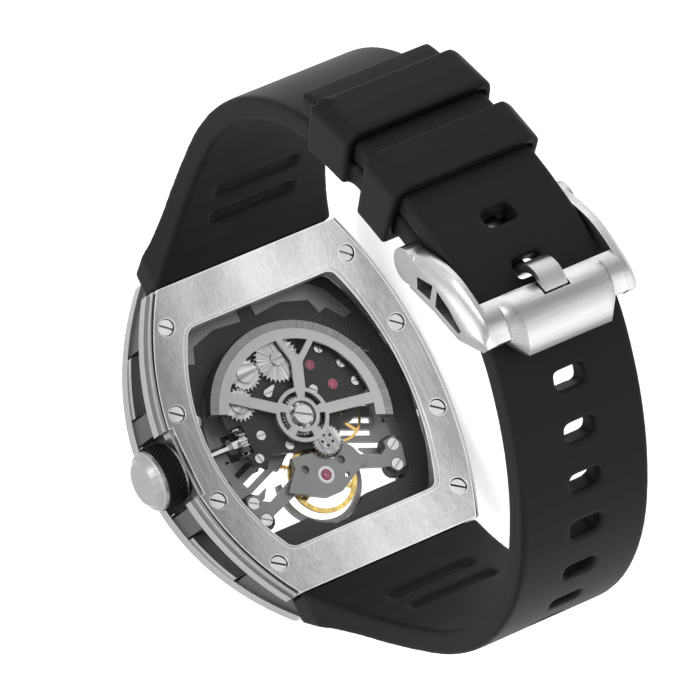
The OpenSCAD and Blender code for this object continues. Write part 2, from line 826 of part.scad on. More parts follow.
module main_plate() {
    color("gray") place() difference() {
        union() {
            translate([0, 0, plate_z]) linear_extrude(plate_t) main_plate_outline();
            disc(0.62, plate_z, dial_z + 0.1);
            at(balance_p) disc(1.5, plate_z, dial_z + 0.1);
        }
        for (p = [inter_p, third_p, fourth_p, escape_p]) at(p) disc(shaft_r + run_gap, 4, 9);
        at(balance_p) disc(0.1 + run_gap, 4, 9);
        at(pallet_p) disc(0.15 + run_gap, 4, 9);
        disc(0.3 + run_gap, 4, 9);
        at(barrel_p) disc(0.5 + run_gap, 4, 9);
        translate([8.2, -1.95, 5]) cube([2.6, 3.9, 3]);
    }
}

module barrel_bridge_outline() {
    intersection() {
        circle(r = 11.6);
        union() {
            polygon([
                [-2.2, 3], [-4.7, 10.6], [0, 12], [5.6, 11], [9.6, 7.4], [10.6, 4.4], [10.6, 2.6], [11.1, 0],
                [9.4, -2.6], [7.6, -4.8], [6.4, -3.2], [3, -4], [0, -4.5], [-1.6, -5.1], [-2.7, -5.1],
                [-1.95, -3.2], [-2.9, -2], [-3.2, 1]
            ]);
            translate(bridge_screws[2]) circle(r = 1.1);
        }
    }
}

module barrel_bridge() {
    color("dimgray") place() difference() {
        union() {
            translate([0, 0, bridge_z]) linear_extrude(bridge_t) barrel_bridge_outline();
            for (p = bridge_posts) at(p) disc(0.8, bridge_z, plate_z);
            disc(1.9, bridge_z - 0.15, bridge_z + 0.1);
        }
        at(barrel_p) disc(0.7 + run_gap, 2, 6);
        for (p = bridge_screws) at(p) disc(0.4, 2, 5.4);
        disc(0.6, 2, 6);
        at(auto_p) disc(shaft_r + run_gap, 2, 6);
        for (p = [transfer_p, crown_p, click_p]) at(p) disc(0.3 + run_gap, 2, 6);
        translate([8.3, -2.15, 2]) cube([4, 4.3, 4]);
    }
}

module train_bridge_outline() {
    intersection() {
        circle(r = 11.6);
        polygon([
            [-2.5, 3.1], [-4.95, 10.4], [-9, 8], [-11.2, 4.2], [-11.8, 0.2], [-10, -0.4], [-8, -2.8],
            [-5.2, -3], [-4, -4.8], [-2.9, -5], [-2.15, -3.3], [-3.1, -2], [-3.5, 1]
        ]);
    }
}

module train_bridge() {
    color("dimgray") place() difference() {
        union() {
            translate([0, 0, bridge_z]) linear_extrude(bridge_t) train_bridge_outline();
            for (p = train_posts) at(p) disc(0.55, bridge_z, plate_z);
        }
        for (p = [inter_p, third_p]) at(p) {
            disc(0.72, 2, jewel_z);
            disc(shaft_r + run_gap, 3, 6);
        }
        for (p = [fourth_p, escape_p]) at(p) disc(shaft_r + run_gap, 2, 6);
        for (p = bridge_screws) at(p) disc(0.4, 2, 5.4);
    }
}

module balance_bridge_body() {
    difference() {
        polygon([[3.7, -4.7], [3.8, -6.2], [6.3, -8.9], [1.2, -11.5], [-1.2, -11.5], [-6.3, -8.9], [-5.4, -6.6], [-4.3, -5.1], [-1.2, -5.4]]);
        translate(auto_p) circle(r = 2.5);
    }
}

module balance_bridge_arm() {
    polygon([[4.4, -7], [9, -9], [10.2, -8.4], [10.4, -7.4], [12, -7.2], [12.6, -8.6], [11.8, -11.6], [10.4, -12], [9.5, -10.9], [5, -9.4]]);
}

module balance_bridge() {
    color("lightslategray") place() difference() {
        union() {
            translate([0, 0, bridge_z + 0.05]) linear_extrude(0.9) balance_bridge_body();
            translate([0, 0, arm_z]) linear_extrude(arm_t) for (x = [0, 1]) mirror([x, 0]) balance_bridge_arm();
            at(balance_p) rotate(hair_end) translate([stud_r, 0, bridge_z + 0.5]) cube([0.4, 0.4, hair_z + 0.16 - bridge_z - 0.5]);
        }
        for (x = [-1, 1], p = arm_screws) translate([x * p[0], p[1], 0]) {
            disc(0.95, 2, arm_z + 0.3);
            disc(0.5, 2, 6);
        }
        at(balance_p) disc(1.22, 2, bridge_z + 0.6);
        at(balance_p) disc(0.3, 2, 6);
        for (p = [[2.6, -6.9], [-2.9, -7.5]]) at(p) disc(0.6, 2, bridge_z + 0.5);
        at([-2.9, -9.7]) disc(0.4, 2, 6);
    }
}

module pallet_bridge() {
    color("gray") place() difference() {
        union() {
            translate([0, 0, 5.05]) linear_extrude(0.2)
                polygon([[-0.9, -5.7], [-2.4, -5.4], [-4.8, -5.6], [-5.6, -6.2], [-5.2, -6.9], [-4.2, -6.9], [-2.6, -6.5], [-1.2, -6.7]]);
            at(pallet_post) disc(0.45, 5.05, plate_z);
        }
        at(pallet_p) disc(0.15 + run_gap, 4, 6);
    }
}

// Every screw of the movement: bridge, arm, wheel and holder screws
module movement_screws() {
    color("gainsboro") place() {
        for (i = [0:len(bridge_screws) - 1]) at(bridge_screws[i]) translate([0, 0, bridge_z - 0.28])
            slotted_screw(0.66, 0.28, 0.36, 1.15, 0.16, 37 * i);
        for (x = [-1, 1], p = arm_screws) translate([x * p[0], p[1], arm_z + 0.02])
            slotted_screw(0.85, 0.28, 0.45, 1.7, 0.2, 30 * x);
        for (a = holder_screws) rotate(a) translate([14.6, 0, holder_z - 0.3])
            slotted_screw(0.8, 0.3, 0.36, 1.6, 0.18, 50);
    }
}

// Ruby bearings, with the shock setting of the balance
module jewels() {
    color("crimson") place() {
        for (p = [inter_p, third_p]) at(p) ring(0.7, pivot_r + run_gap, bridge_z + 0.05, jewel_z);
        at(balance_p) difference() {
            union() {
                disc(1.2, bridge_z + 0.25, bridge_z + 0.6);
                disc(0.62, bridge_z + 0.05, bridge_z + 0.3);
            }
            disc(pivot_r + run_gap, 2, 6);
        }
    }
}

// Winding side

module barrel_drum() {
    color("goldenrod") place() at(barrel_p) difference() {
        union() {
            disc(4.15, drum_z, drum_z + 1.7);
            gear(drum_n, mesh(barrel_p, inter_p, drum_n, inter_pinion_n), drum_a, drum_z + 0.15, drum_z + 0.57);
        }
        disc(3.95, drum_z + 0.2, drum_z + 1.5);
        disc(0.5 + run_gap, 3, 7);
        disc(0.7 + run_gap, 3, drum_z + 0.3);
    }
}

module mainspring() {
    color("lightsteelblue") place() at(barrel_p)
        spiral(3.85 - 0.68 * main_turns, 0.68, main_turns, 0.2, 1.1, 0, drum_z + 0.3);
}

module barrel_arbor() {
    color("lightgray") place() at(barrel_p) union() {
        disc(0.5, ratchet_z + ratchet_t, dial_z);
        disc(0.7, ratchet_z + ratchet_t, drum_z + 0.26);
        disc(0.9, drum_z + 0.25, drum_z + 1.45);
        translate([-0.45, -0.45, 2.6]) cube([0.9, 0.9, 0.6]);
    }
}

// Snailed winding wheels on the back of the barrel bridge
module winding_wheel(p, n, m, a, hub_r) {
    color("silver") place() at(p) difference() {
        union() {
            gear(n, m, a, ratchet_z, ratchet_z + ratchet_t);
            disc(hub_r, ratchet_z - 0.22, ratchet_z + 0.1);
            children();
        }
        translate([-3, -0.13, ratchet_z - 0.6]) cube([6, 0.26, 0.5]);
    }
}

module ratchet_wheel() {
    difference() {
        winding_wheel(barrel_p, ratchet_n, ratchet_m, ratchet_a, 0.95);
        color("silver") place() at(barrel_p) translate([-0.45, -0.45, 2.6]) cube([0.9, 0.9, 1]);
    }
}

module transfer_wheel() {
    winding_wheel(transfer_p, transfer_n, ratchet_m, transfer_a, 1.2) disc(0.3, ratchet_z, 3.8);
}

module crown_wheel() {
    m = 2 * norm(crown_p - transfer_p) / crown_n - ratchet_m * transfer_n / crown_n;
    winding_wheel(crown_p, crown_n, m, crown_a, 1.25) disc(0.3, ratchet_z, 3.8);
}

module click() {
    color("lightgray") place() at(click_p) difference() {
        union() {
            disc(0.6, ratchet_z + 0.1, ratchet_z + 0.5);
            translate([0, 0, ratchet_z + 0.1]) linear_extrude(0.4)
                polygon([[-0.5, -0.2], [-1.35, 0.55], [-1.25, 0.8], [0.2, 0.55]]);
            disc(0.3, ratchet_z + 0.3, 3.7);
        }
        translate([-0.6, -0.08, ratchet_z - 0.1]) cube([1.2, 0.16, 0.35]);
    }
}

// Going train

module arbor(p, z1) {
    at(p) disc(shaft_r, bridge_z + 0.2, z1);
}

// An arbor whose end is thinner, for a jewel
module jewel_arbor(p, z1) {
    at(p) disc(pivot_r, bridge_z + 0.15, jewel_z + 0.2);
    at(p) disc(shaft_r, jewel_z + 0.1, z1);
}

module intermediate_wheel() {
    color("goldenrod") place() {
        at(inter_p) gear(
            inter_pinion_n, mesh(barrel_p, inter_p, drum_n, inter_pinion_n),
            follow(barrel_p, drum_n, drum_a, inter_p, inter_pinion_n), drum_z + 0.05, drum_z + 0.7
        );
        jewel_arbor(inter_p, center_z + 0.3);
        at(inter_p) gear(inter_n, mesh(inter_p, [0, 0], inter_n, center_n), inter_a, center_z, center_z + 0.25);
    }
}

module center_wheel() {
    color("goldenrod") place() union() {
        spoked(center_n, mesh(inter_p, [0, 0], inter_n, center_n), center_a, center_z, center_z + 0.25, 1, 5, 0.4);
        disc(0.3, 5.6, center_z + 0.1);
        disc(0.5, center_z + 0.1, minute_z);
        disc(0.4, minute_z - 0.1, minute_z + 0.3);
        gear(cannon_n, motion_m, cannon_a, center_z + 0.2, motion_z + 0.18);
    }
}

module third_wheel() {
    color("goldenrod") place() {
        at(third_p) gear(
            third_pinion_n, mesh([0, 0], third_p, center_n, third_pinion_n),
            follow([0, 0], center_n, center_a, third_p, third_pinion_n), center_z - 0.03, center_z + 0.28
        );
        jewel_arbor(third_p, center_z + 0.3);
        at(third_p)
            spoked(third_n, mesh(third_p, fourth_p, third_n, fourth_pinion_n), third_a, 5.45, 5.6, 0.5, 4, 0.3);
    }
}

module fourth_wheel() {
    color("goldenrod") place() {
        at(fourth_p) gear(
            fourth_pinion_n, mesh(third_p, fourth_p, third_n, fourth_pinion_n),
            follow(third_p, third_n, third_a, fourth_p, fourth_pinion_n), 5.35, 5.75
        );
        arbor(fourth_p, dial_z);
        at(fourth_p)
            spoked(fourth_n, mesh(fourth_p, escape_p, fourth_n, escape_pinion_n), fourth_a, 5.1, 5.22, 0.5, 4, 0.3);
    }
}

// Club teeth, all leaning one way
function escape_points() = [
    for (i = [0:escape_n - 1], k = [[0, 1.45], [7, 1.9], [9.5, 1.82], [6.5, 1.4]])
        let(b = i * 360 / escape_n + k[0]) k[1] * [cos(b), sin(b)]
];

module escape_wheel() {
    color("lightgray") place() {
        at(escape_p) gear(
            escape_pinion_n, mesh(fourth_p, escape_p, fourth_n, escape_pinion_n),
            follow(fourth_p, fourth_n, fourth_a, escape_p, escape_pinion_n), 5.02, 5.3
        );
        arbor(escape_p, dial_z);
        at(escape_p) translate([0, 0, 5.42]) linear_extrude(0.16) difference() {
            polygon(escape_points());
            for (i = [0:3]) rotate(i * 90 + 20) translate([0.85, 0]) circle(r = 0.33);
        }
    }
}

// The lever and its two stones, drawn just clear of the escape wheel
module pallet_fork() {
    color("lightgray") place() at(pallet_p) union() {
        disc(0.15, 5, dial_z);
        rotate(toward(pallet_p, balance_p)) translate([0, 0, 5.42]) linear_extrude(0.16) difference() {
            union() {
                circle(r = 0.4);
                polygon([[0, -0.2], [1.5, -0.13], [1.9, -0.4], [2.35, -0.42], [2.35, 0.42], [1.9, 0.4], [1.5, 0.13], [0, 0.2]]);
                for (y = [0, 1]) mirror([0, y]) polygon([[0.2, 0.2], [-0.45, 1.65], [-1.1, 1.5], [-0.3, 0]]);
            }
            translate([2, -0.22]) square([0.6, 0.44]);
        }
    }
}

// Balance and its spring

module balance_wheel() {
    color("gold") place() at(balance_p) difference() {
        union() {
            ring(balance_r, balance_r - 0.65, rim_z, rim_z + 0.4);
            disc(0.8, rim_z + 0.1, rim_z + 0.35);
            for (a = [0, 120, 240])
                rotate(a + 96) translate([0.3, -0.42, rim_z + 0.1]) cube([balance_r - 0.7, 0.84, 0.2]);
        }
        disc(0.38, 4, 6);
    }
}

module balance_staff() {
    color("lightgray") place() at(balance_p) union() {
        disc(pivot_r, bridge_z + 0.15, dial_z);
        disc(0.42, hair_z - 0.02, hair_z + 0.2);
        disc(0.55, hair_z + 0.18, rim_z + 0.1);
        disc(0.38, rim_z + 0.05, 5.1);
        disc(0.6, 5.05, 5.25);
        rotate(toward(balance_p, pallet_p)) translate([0.48, 0, 0]) disc(0.09, 5.2, 5.38);
    }
}

module hairspring() {
    color("lightsteelblue") place() {
        at(balance_p) spiral(hair_r, hair_pitch, hair_turns, 0.1, 0.14, hair_end, hair_z);
    }
}

// Motion work and hour wheel on the dial side

module motion_wheel() {
    color("goldenrod") place() at(motion_p) difference() {
        union() {
            gear(motion_n, motion_m, follow([0, 0], cannon_n, cannon_a, motion_p, motion_n), motion_z, motion_z + 0.16);
            gear(
                motion_pinion_n, mesh([0, 0], motion_p, hour_n, motion_pinion_n),
                toward(motion_p, [0, 0]), motion_z + 0.14, motion_z + 0.46
            );
        }
        disc(shaft_r + run_gap, 6, 9);
    }
}

module hour_wheel() {
    color("goldenrod") place() difference() {
        union() {
            gear(
                hour_n, mesh([0, 0], motion_p, hour_n, motion_pinion_n),
                follow(motion_p, motion_pinion_n, toward(motion_p, [0, 0]), [0, 0], hour_n),
                motion_z + 0.24, motion_z + 0.42
            );
            disc(1, motion_z + 0.24, hour_z);
            disc(0.8, motion_z + 0.24, hour_z + 0.22);
        }
        disc(0.5 + gap, 6, 9);
    }
}

// Rotor

rotor_turn = 111;

module rotor_plate() {
    ring_r = rotor_r - 1.2;
    color("silver") place() rotate(rotor_turn) difference() {
        union() {
            translate([0, 0, rotor_z]) linear_extrude(rotor_t) difference() {
                union() {
                    difference() {
                        circle(r = ring_r);
                        circle(r = ring_r - 1.4);
                        translate([-30, -15]) square([30, 30]);
                    }
                    circle(r = 3.85);
                    for (a = [-77, 77]) rotate(a) translate([2, -0.75]) square([ring_r - 2.4, 1.5]);
                    translate([2, -0.8]) square([6.4, 1.6]);
                    for (s = [-1, 1]) translate([7.4, s * 0.3]) rotate(s * 33) translate([0, -0.42]) square([4.6, 0.84]);
                }
                for (a = [36, 108, 180, 252, 324]) rotate(a) intersection() {
                    difference() {
                        circle(r = 3.3);
                        circle(r = 2.45);
                    }
                    polygon([[0, 0], [8, -3.6], [8, 3.6]]);
                }
            }
            ring(2.3, 1.95, rotor_z, gear_z);
        }
        disc(1.95, 0, 5);
    }
}

module rotor_weight() {
    color("darkgray") place() rotate(rotor_turn) difference() {
        union() {
            ring(rotor_r, rotor_r - 1.4, rotor_z + rotor_t, weight_z1);
            ring(rotor_r, rotor_r - 1.2, rotor_z + 0.1, weight_z1);
        }
        translate([-30, -20, 0]) cube([30, 40, 8]);
    }
}

module rotor_bearing() {
    color("silver") place() difference() {
        union() {
            disc(1.42, rotor_z + 0.1, bridge_z - 0.2);
            disc(1.88, 2.45, bridge_z - 0.15);
            disc(0.55, bridge_z - 0.2, 4.2);
            disc(1.3, rotor_z - 0.3, rotor_z + 0.2);
        }
        rotate(28) translate([-3, -0.15, rotor_z - 1]) cube([6, 0.3, 0.95]);
        rotate_extrude() translate([1.68, rotor_z + 0.45]) circle(r = 0.3);
    }
}

module bearing_balls() {
    color("white") place() union() {
        ring(1.88, 1.46, 2.33, 2.45);
        for (i = [0:8]) rotate(i * 40) translate([1.68, 0, rotor_z + 0.45]) sphere(r = 0.22, $fn = 24);
    }
}

module rotor_gear() {
    color("goldenrod") place() difference() {
        gear(rotor_n, mesh([0, 0], auto_p, rotor_n, auto_n), rotor_a, gear_z, gear_z + gear_t);
        disc(1.95, 0, 5);
    }
}

module reversing_wheel() {
    color("goldenrod") place() at(auto_p) difference() {
        union() {
            gear(
                auto_n, mesh([0, 0], auto_p, rotor_n, auto_n),
                follow([0, 0], rotor_n, rotor_a, auto_p, auto_n), gear_z, gear_z + gear_t
            );
            disc(1.25, gear_z - 0.08, gear_z + 0.1);
            disc(shaft_r, gear_z + 0.2, 3.5);
        }
        for (i = [0:4]) rotate(i * 72) translate([0.8, 0, 0]) disc(0.22, 0, 5);
    }
}

// Strap and buckle

// Maps path points [u, w] to y, z on the twelve (s = 1) or six (s = -1) o'clock side
function to_yz(p, s) = [s * p[0], -p[1]];

function band(s, arcs, side) = let(q = samples(s, arcs)) concat(
    [for (e = q) to_yz(e[0], side)],
    [for (k = [len(q) - 1:-1:0]) to_yz(q[k][0] + strap_thick(q[k][2]) * outward(q[k][1]), side)]
);

// The end that goes into the case, over the strap bar
module strap_neck(head, side) {
    e = loop_start + strap_thick(0) * outward(head);
    polygon([
        for (p = [[20.9, -4.1], [20.9, -0.7], [loop_start[0], -0.15], loop_start, e, [e[0] - 0.5, e[1] - 1.4], [24.9, -2.5], [22.7, -3.85]])
            to_yz(p, side)
    ]);
}

// Half width of the strap at a depth w towards the wrist
function flare(w) = strap_w / 2 + (strap_case_w - strap_w) / 2
    * pow(max(0, min(1, 1 - (w - loop_start[1]) / flare_l)), flare_power);

module strap_width() {
    depths = [0.05 - cheek_z, 3.5, 5, 6.5, 8, 10, 12, 14.5, 17, 20, 24, 29, 36, 48, flare_l + 4, 84];
    half = [for (w = depths) [flare(w), -w]];
    polygon(concat(
        [[cheek_x, 6], [cheek_x, cheek_z - 0.05]], half,
        [for (k = [len(half) - 1:-1:0]) [-half[k][0], half[k][1]]],
        [[-cheek_x, cheek_z - 0.05], [-cheek_x, 6]]
    ));
}

// Moves children to a place on the path, x across, y along and z out of the strap
module on_path(e, side) {
    h = e[1];
    p = to_yz(e[0], side);
    translate([0, p[0], p[1]]) rotate([side > 0 ? -h : 180 + h, 0, 0]) children();
}

module strap_hole() {
    cube([hole_w - 2 * hole_corner, hole_l, 12], center = true);
    cube([hole_w, hole_l - 2 * hole_corner, 12], center = true);
    for (x = [-1, 1], y = [-1, 1])
        translate([x * (hole_w / 2 - hole_corner), y * (hole_l / 2 - hole_corner), 0])
            cylinder(r = hole_corner, h = 12, center = true);
}

// Shallow grooves across the wrist side, near the case
module strap_grooves(s, arcs, side) {
    for (d = [9.5, 15]) on_path(locate(s, arcs, d), side) cube([13, 2.2, 1.5], center = true);
}

module strap_long() {
    color([0.12, 0.12, 0.12]) place() difference() {
        intersection() {
            along_x(40) union() {
                polygon(band(long_s, long_all, -1));
                strap_neck(long_head, -1);
            }
            along_y(200) strap_width();
        }
        for (k = [-1:8]) on_path(locate(long_s, long_all, tang_len - k * hole_pitch), -1) strap_hole();
        strap_grooves(long_s, long_all, -1);
        translate([0, -bar_p[0], bar_p[1]]) rod_x(bar_r - 0.02, -20, 20);
    }
}

// Sector of a ring between two radii and headings, as points
function sector(c, r0, r1, h0, h1) = let(n = ceil((h1 - h0) / 3)) concat(
    [for (k = [0:n]) to_yz(c + r0 * outward(h0 + (h1 - h0) * k / n), 1)],
    [for (k = [n:-1:0]) to_yz(c + r1 * outward(h0 + (h1 - h0) * k / n), 1)]
);

keep_r = short_arcs[2][0];
keep_top = 2 * strap_t + layer_gap + keeper_gap + keeper_wall;
fixed_h0 = short_turn - 0.5;
fixed_h1 = short_turn + 5.4;
free_h0 = short_turn + 8.2;
free_h1 = free_h0 + 5.3;
ramp_turn = 20.5;

// Two prisms that bevel a keeper's upper edges; h is the heading of its middle
module keeper_edges(h) {
    for (x = [-1, 1]) on_path([keeper_c + (keep_r + keep_top) * outward(h), h], 1)
        translate([x * keeper_w / 2, 0, 0]) rotate([0, 45, 0]) cube([keeper_chamfer * sqrt(2), 40, keeper_chamfer * sqrt(2)], center = true);
}

// The hump behind the fixed keeper grows out of the strap and widens towards the keeper
module keeper_ramp() {
    r = short_arcs[1][0];
    rise = [
        [0.3, 0.6], [keep_top, 0.6], [keep_top, -1], [keep_top - 0.2, -4], [keep_top - 0.7, -7.5], [keep_top - 1.6, -11],
        [strap_t + 2.5, -14.5], [strap_t + 0.9, -17.8], [strap_t + 0.02, -ramp_turn], [0.3, -ramp_turn]
    ];
    w0 = strap_w / 2 + 0.3;
    intersection() {
        along_x(keeper_w) polygon([for (q = rise) to_yz(shoulder_c + (r + q[0]) * outward(short_turn + q[1]), 1)]);
        on_path([shoulder_c + r * outward(short_turn), short_turn], 1) translate([0, 0, -20]) linear_extrude(40) polygon([
            for (x = [-1, 1], q = [[w0 - 0.4, -16], [w0, -9], [w0 + 0.5, -6], [keeper_w / 2 - 0.2, -3], [keeper_w / 2 + 0.1, -0.5], [keeper_w / 2 + 0.1, 2]])
                x > 0 ? [q[0], -q[1]] : [-q[0], -q[1]]
        ]);
    }
}

module fixed_keeper_solid() {
    difference() {
        union() {
            along_x(keeper_w) polygon(sector(keeper_c, keep_r + 0.3, keep_r + keep_top, fixed_h0, fixed_h1));
            keeper_ramp();
        }
        keeper_edges((fixed_h0 + fixed_h1) / 2);
    }
}

module strap_short() {
    color([0.12, 0.12, 0.12]) place() difference() {
        union() {
            intersection() {
                along_x(40) union() {
                    polygon(band(short_s, short_arcs, 1));
                    strap_neck(short_head, 1);
                }
                along_y(200) strap_width();
            }
            fixed_keeper_solid();
            translate([0, spring_p[0], -spring_p[1]]) rod_x(1.9, -strap_w / 2, strap_w / 2);
        }
        along_x(strap_w + 2 * keeper_gap + 0.2)
            union() {
                polygon(sector(keeper_c, keep_r + strap_t, keep_r + keep_top - keeper_wall, short_turn, fixed_h1 + 1));
                polygon(sector(
                    shoulder_c, short_arcs[1][0] + strap_t, short_arcs[1][0] + keep_top - keeper_wall,
                    short_turn - tip_sweep - 0.8, short_turn
                ));
            }
        translate([0, spring_p[0], -spring_p[1]]) rod_x(spring_r - 0.02, -20, 20);
        translate([0, spring_p[0], -spring_p[1]]) rotate([-short_end, 0, 0]) translate([-2.6, -3.2, -4]) cube([5.2, 7, 8]);
        strap_grooves(short_s, short_arcs, 1);
        translate([0, bar_p[0], bar_p[1]]) rod_x(bar_r - 0.02, -20, 20);
    }
}

module strap_bars() {
    color("silver") place() for (y = [-1, 1]) translate([0, y * bar_p[0], bar_p[1]]) rod_x(bar_r, -13.2, 13.2);
}

module free_keeper() {
    color([0.12, 0.12, 0.12]) place() difference() {
        along_x(keeper_w)
            polygon(sector(keeper_c, keep_r - keeper_gap - keeper_wall, keep_r + keep_top, free_h0, free_h1));
        along_x(strap_w + 2 * keeper_gap + 0.2)
            polygon(sector(keeper_c, keep_r - keeper_gap, keep_r + keep_top - keeper_wall, free_h0 - 1, free_h1 + 1));
        keeper_edges((free_h0 + free_h1) / 2);
    }
}

// Points of the buckle, measured from the spring bar along y and towards the floor of the loop
function buckle(points) = [for (p = points) [spring_p[0] + p[0], -spring_p[1] - p[1]]];

// A smooth line through the points, n steps from each to the next
function curve(points, n = 3) = let(m = len(points)) concat([
    for (i = [0:m - 2], k = [0:n - 1])
        let(t = k / n, a = points[max(0, i - 1)], b = points[i], c = points[i + 1], d = points[min(m - 1, i + 2)])
        0.5 * (2 * b + t * (c - a) + t * t * (2 * a - 5 * b + 4 * c - d) + t * t * t * (3 * b - a - 3 * c + d))
], [points[m - 1]]);

// Outline of a buckle arm whose rounded upper edge is lowered by the share k
function arm_points(k) = buckle(concat(
    curve([
        for (q = [
            [1.9, 0.4, 0], [1.5, 1.7, 0.1], [-0.2, 3.9, 1.4], [-2.4, 6, 2.3], [-5.3, 7.9, 2.5], [-9.2, 9.2, 2.9],
            [-12.4, 9.8, 3], [-14.9, 8.7, 1.3]
        ]) [q[0], q[1] - k * q[2]]
    ]),
    [[-14.9, 7], [-11.8, 4.3], [-7, 1.7], [-2.6, -1.3]]
));

// Outline of the raised middle of the buckle's bar, lowered to the bar's own by the share k
function middle_points(k) = buckle(concat(
    [[-14.9, 6.9], [-9.3, 7.3]],
    curve([
        for (q = [
            [-9.3, 9.3, 0, 0.5], [-11, 10.6, 0, 0.8], [-13.2, 10.9, 0, 1.1], [-15.4, 10.3, 1, 1.3],
            [-16.9, 9.2, 1.8, 0.6], [-17.6, 8.1, 2.4, 0]
        ]) [q[0] + k * q[2], q[1] - k * q[3]]
    ]),
    [[-17.2 + k * 2.1, 7.2]]
));

// A solid through outlines of as many points, each at its own place along x
module loft(xs, outlines) {
    n = len(outlines[0]);
    m = len(xs);
    polyhedron(
        points = [for (i = [0:m - 1], q = outlines[i]) [xs[i], q[0], q[1]]],
        faces = concat(
            [[for (i = [n - 1:-1:0]) i]], [[for (i = [0:n - 1]) n * (m - 1) + i]],
            [
                for (k = [0:m - 2], i = [0:n - 1])
                    let(a = k * n + i, b = k * n + (i + 1) % n) each [[a, b, b + n], [a, b + n, a + n]]
            ]
        )
    );
}

// Right arm of the buckle, rounded towards its side and cut off at a slant at its end
module buckle_arm() {
    difference() {
        union() {
            loft([arm_x0, 11, 11.9, arm_x1], [arm_points(0), arm_points(0), arm_points(0.3), arm_points(1)]);
            translate([0, spring_p[0], -spring_p[1]]) rod_x(arm_boss_r, arm_x0, arm_x1);
        }
        translate([0, spring_p[0], -90]) linear_extrude(60)
            polygon([[arm_x1 + 0.1, -11.5], [arm_x1 - 1.1, -15.2], [arm_x1 + 2, -15.2]]);
        along_x(40) {
            polygon(buckle([[-2.05, 1.7], [-4.2, 4.4], [-5.5, 2.1], [-3.3, 0.2]]));
            polygon(buckle([[-5.1, 4.8], [-8, 5.6], [-11.1, 5.9], [-11.2, 5], [-6.6, 2.5]]));
        }
    }
}

module buckle_frame() {
    color("silver") place() difference() {
        union() {
            for (x = [0, 1]) mirror([x, 0, 0]) buckle_arm();
            along_x(2 * arm_x0 + 0.4) polygon(buckle(concat(
                [[-14.8, 7.05], [-9.2, 7.4]], curve([[-9.2, 8.9], [-10.9, 9.65], [-12.7, 9.7], [-14.8, 8.65]])
            )));
            loft([-8.1, -6.45, 6.45, 8.1], [for (k = [1, 0, 0, 1]) middle_points(k)]);
        }
        translate([0, spring_p[0], -spring_p[1]]) rod_x(spring_r + 0.04, -12.3, 12.3);
        along_x(tang_w + 0.5) polygon(buckle([[-8, 9.5], [-8, 14], [-11.45, 14], [-11.45, 9.5]]));
    }
}

// Two arcs of the tang's outline: the side towards the spring bar's front, then the side towards the bar
module buckle_tang() {
    outer = [
        [1.2, 1.1], [-0.8, 1.7], [-3, 2.05], [-5, 2.35], [-6.05, 3.1], [-6.3, 4.5], [-6.25, 6.2], [-6.4, 8],
        [-7.1, 9.6], [-8.4, 10.6], [-9.8, 10.9], [-11.2, 10.75]
    ];
    inner = [
        [-11.2, 9.75], [-9.8, 9.9], [-8.6, 9.5], [-7.8, 8.5], [-7.5, 7.2], [-7.45, 5.6], [-7.45, 4.2], [-7, 2.7],
        [-5.9, 1.5], [-4.2, 0.9], [-2.6, 0.5], [-1.4, -0.6]
    ];
    color("silver") place() difference() {
        union() {
            translate([0, spring_p[0], -spring_p[1]]) rod_x(tang_boss_r, -tang_w / 2, tang_w / 2);
            along_x(tang_w) polygon(buckle(concat(curve(outer), curve(inner))));
        }
        translate([0, spring_p[0], -spring_p[1]]) rod_x(spring_r + 0.04, -20, 20);
    }
}

module spring_bar() {
    color("silver") place() translate([0, spring_p[0], -spring_p[1]]) rod_x(spring_r, -12.2, 12.2);
}

caseback();
caseback_crystal();
caseback_gasket();
caseback_screws();
rear_frame();
case_band();
bezel_gasket();
bezel();
front_crystal();
bezel_screws();
crown_tube();
crown_cap();
crown_grip();
winding_stem();
winding_pinion();
flange_ring();
hour_markers();
hour_hand();
minute_hand();
motion_bridge();
movement_holder();
main_plate();
barrel_bridge();
train_bridge();
balance_bridge();
pallet_bridge();
movement_screws();
jewels();
barrel_drum();
mainspring();
barrel_arbor();
ratchet_wheel();
transfer_wheel();
crown_wheel();
click();
intermediate_wheel();
center_wheel();
third_wheel();
fourth_wheel();
escape_wheel();
pallet_fork();
balance_wheel();
balance_staff();
hairspring();
motion_wheel();
hour_wheel();
rotor_plate();
rotor_weight();
rotor_bearing();
bearing_balls();
rotor_gear();
reversing_wheel();
strap_long();
strap_short();
strap_bars();
free_keeper();
buckle_frame();
buckle_tang();
spring_bar();
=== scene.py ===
"""Looks of the skeleton wristwatch: its finishes, soft strap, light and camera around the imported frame."""

import json
import math

import bmesh
import bpy
from mathutils import Matrix, Vector


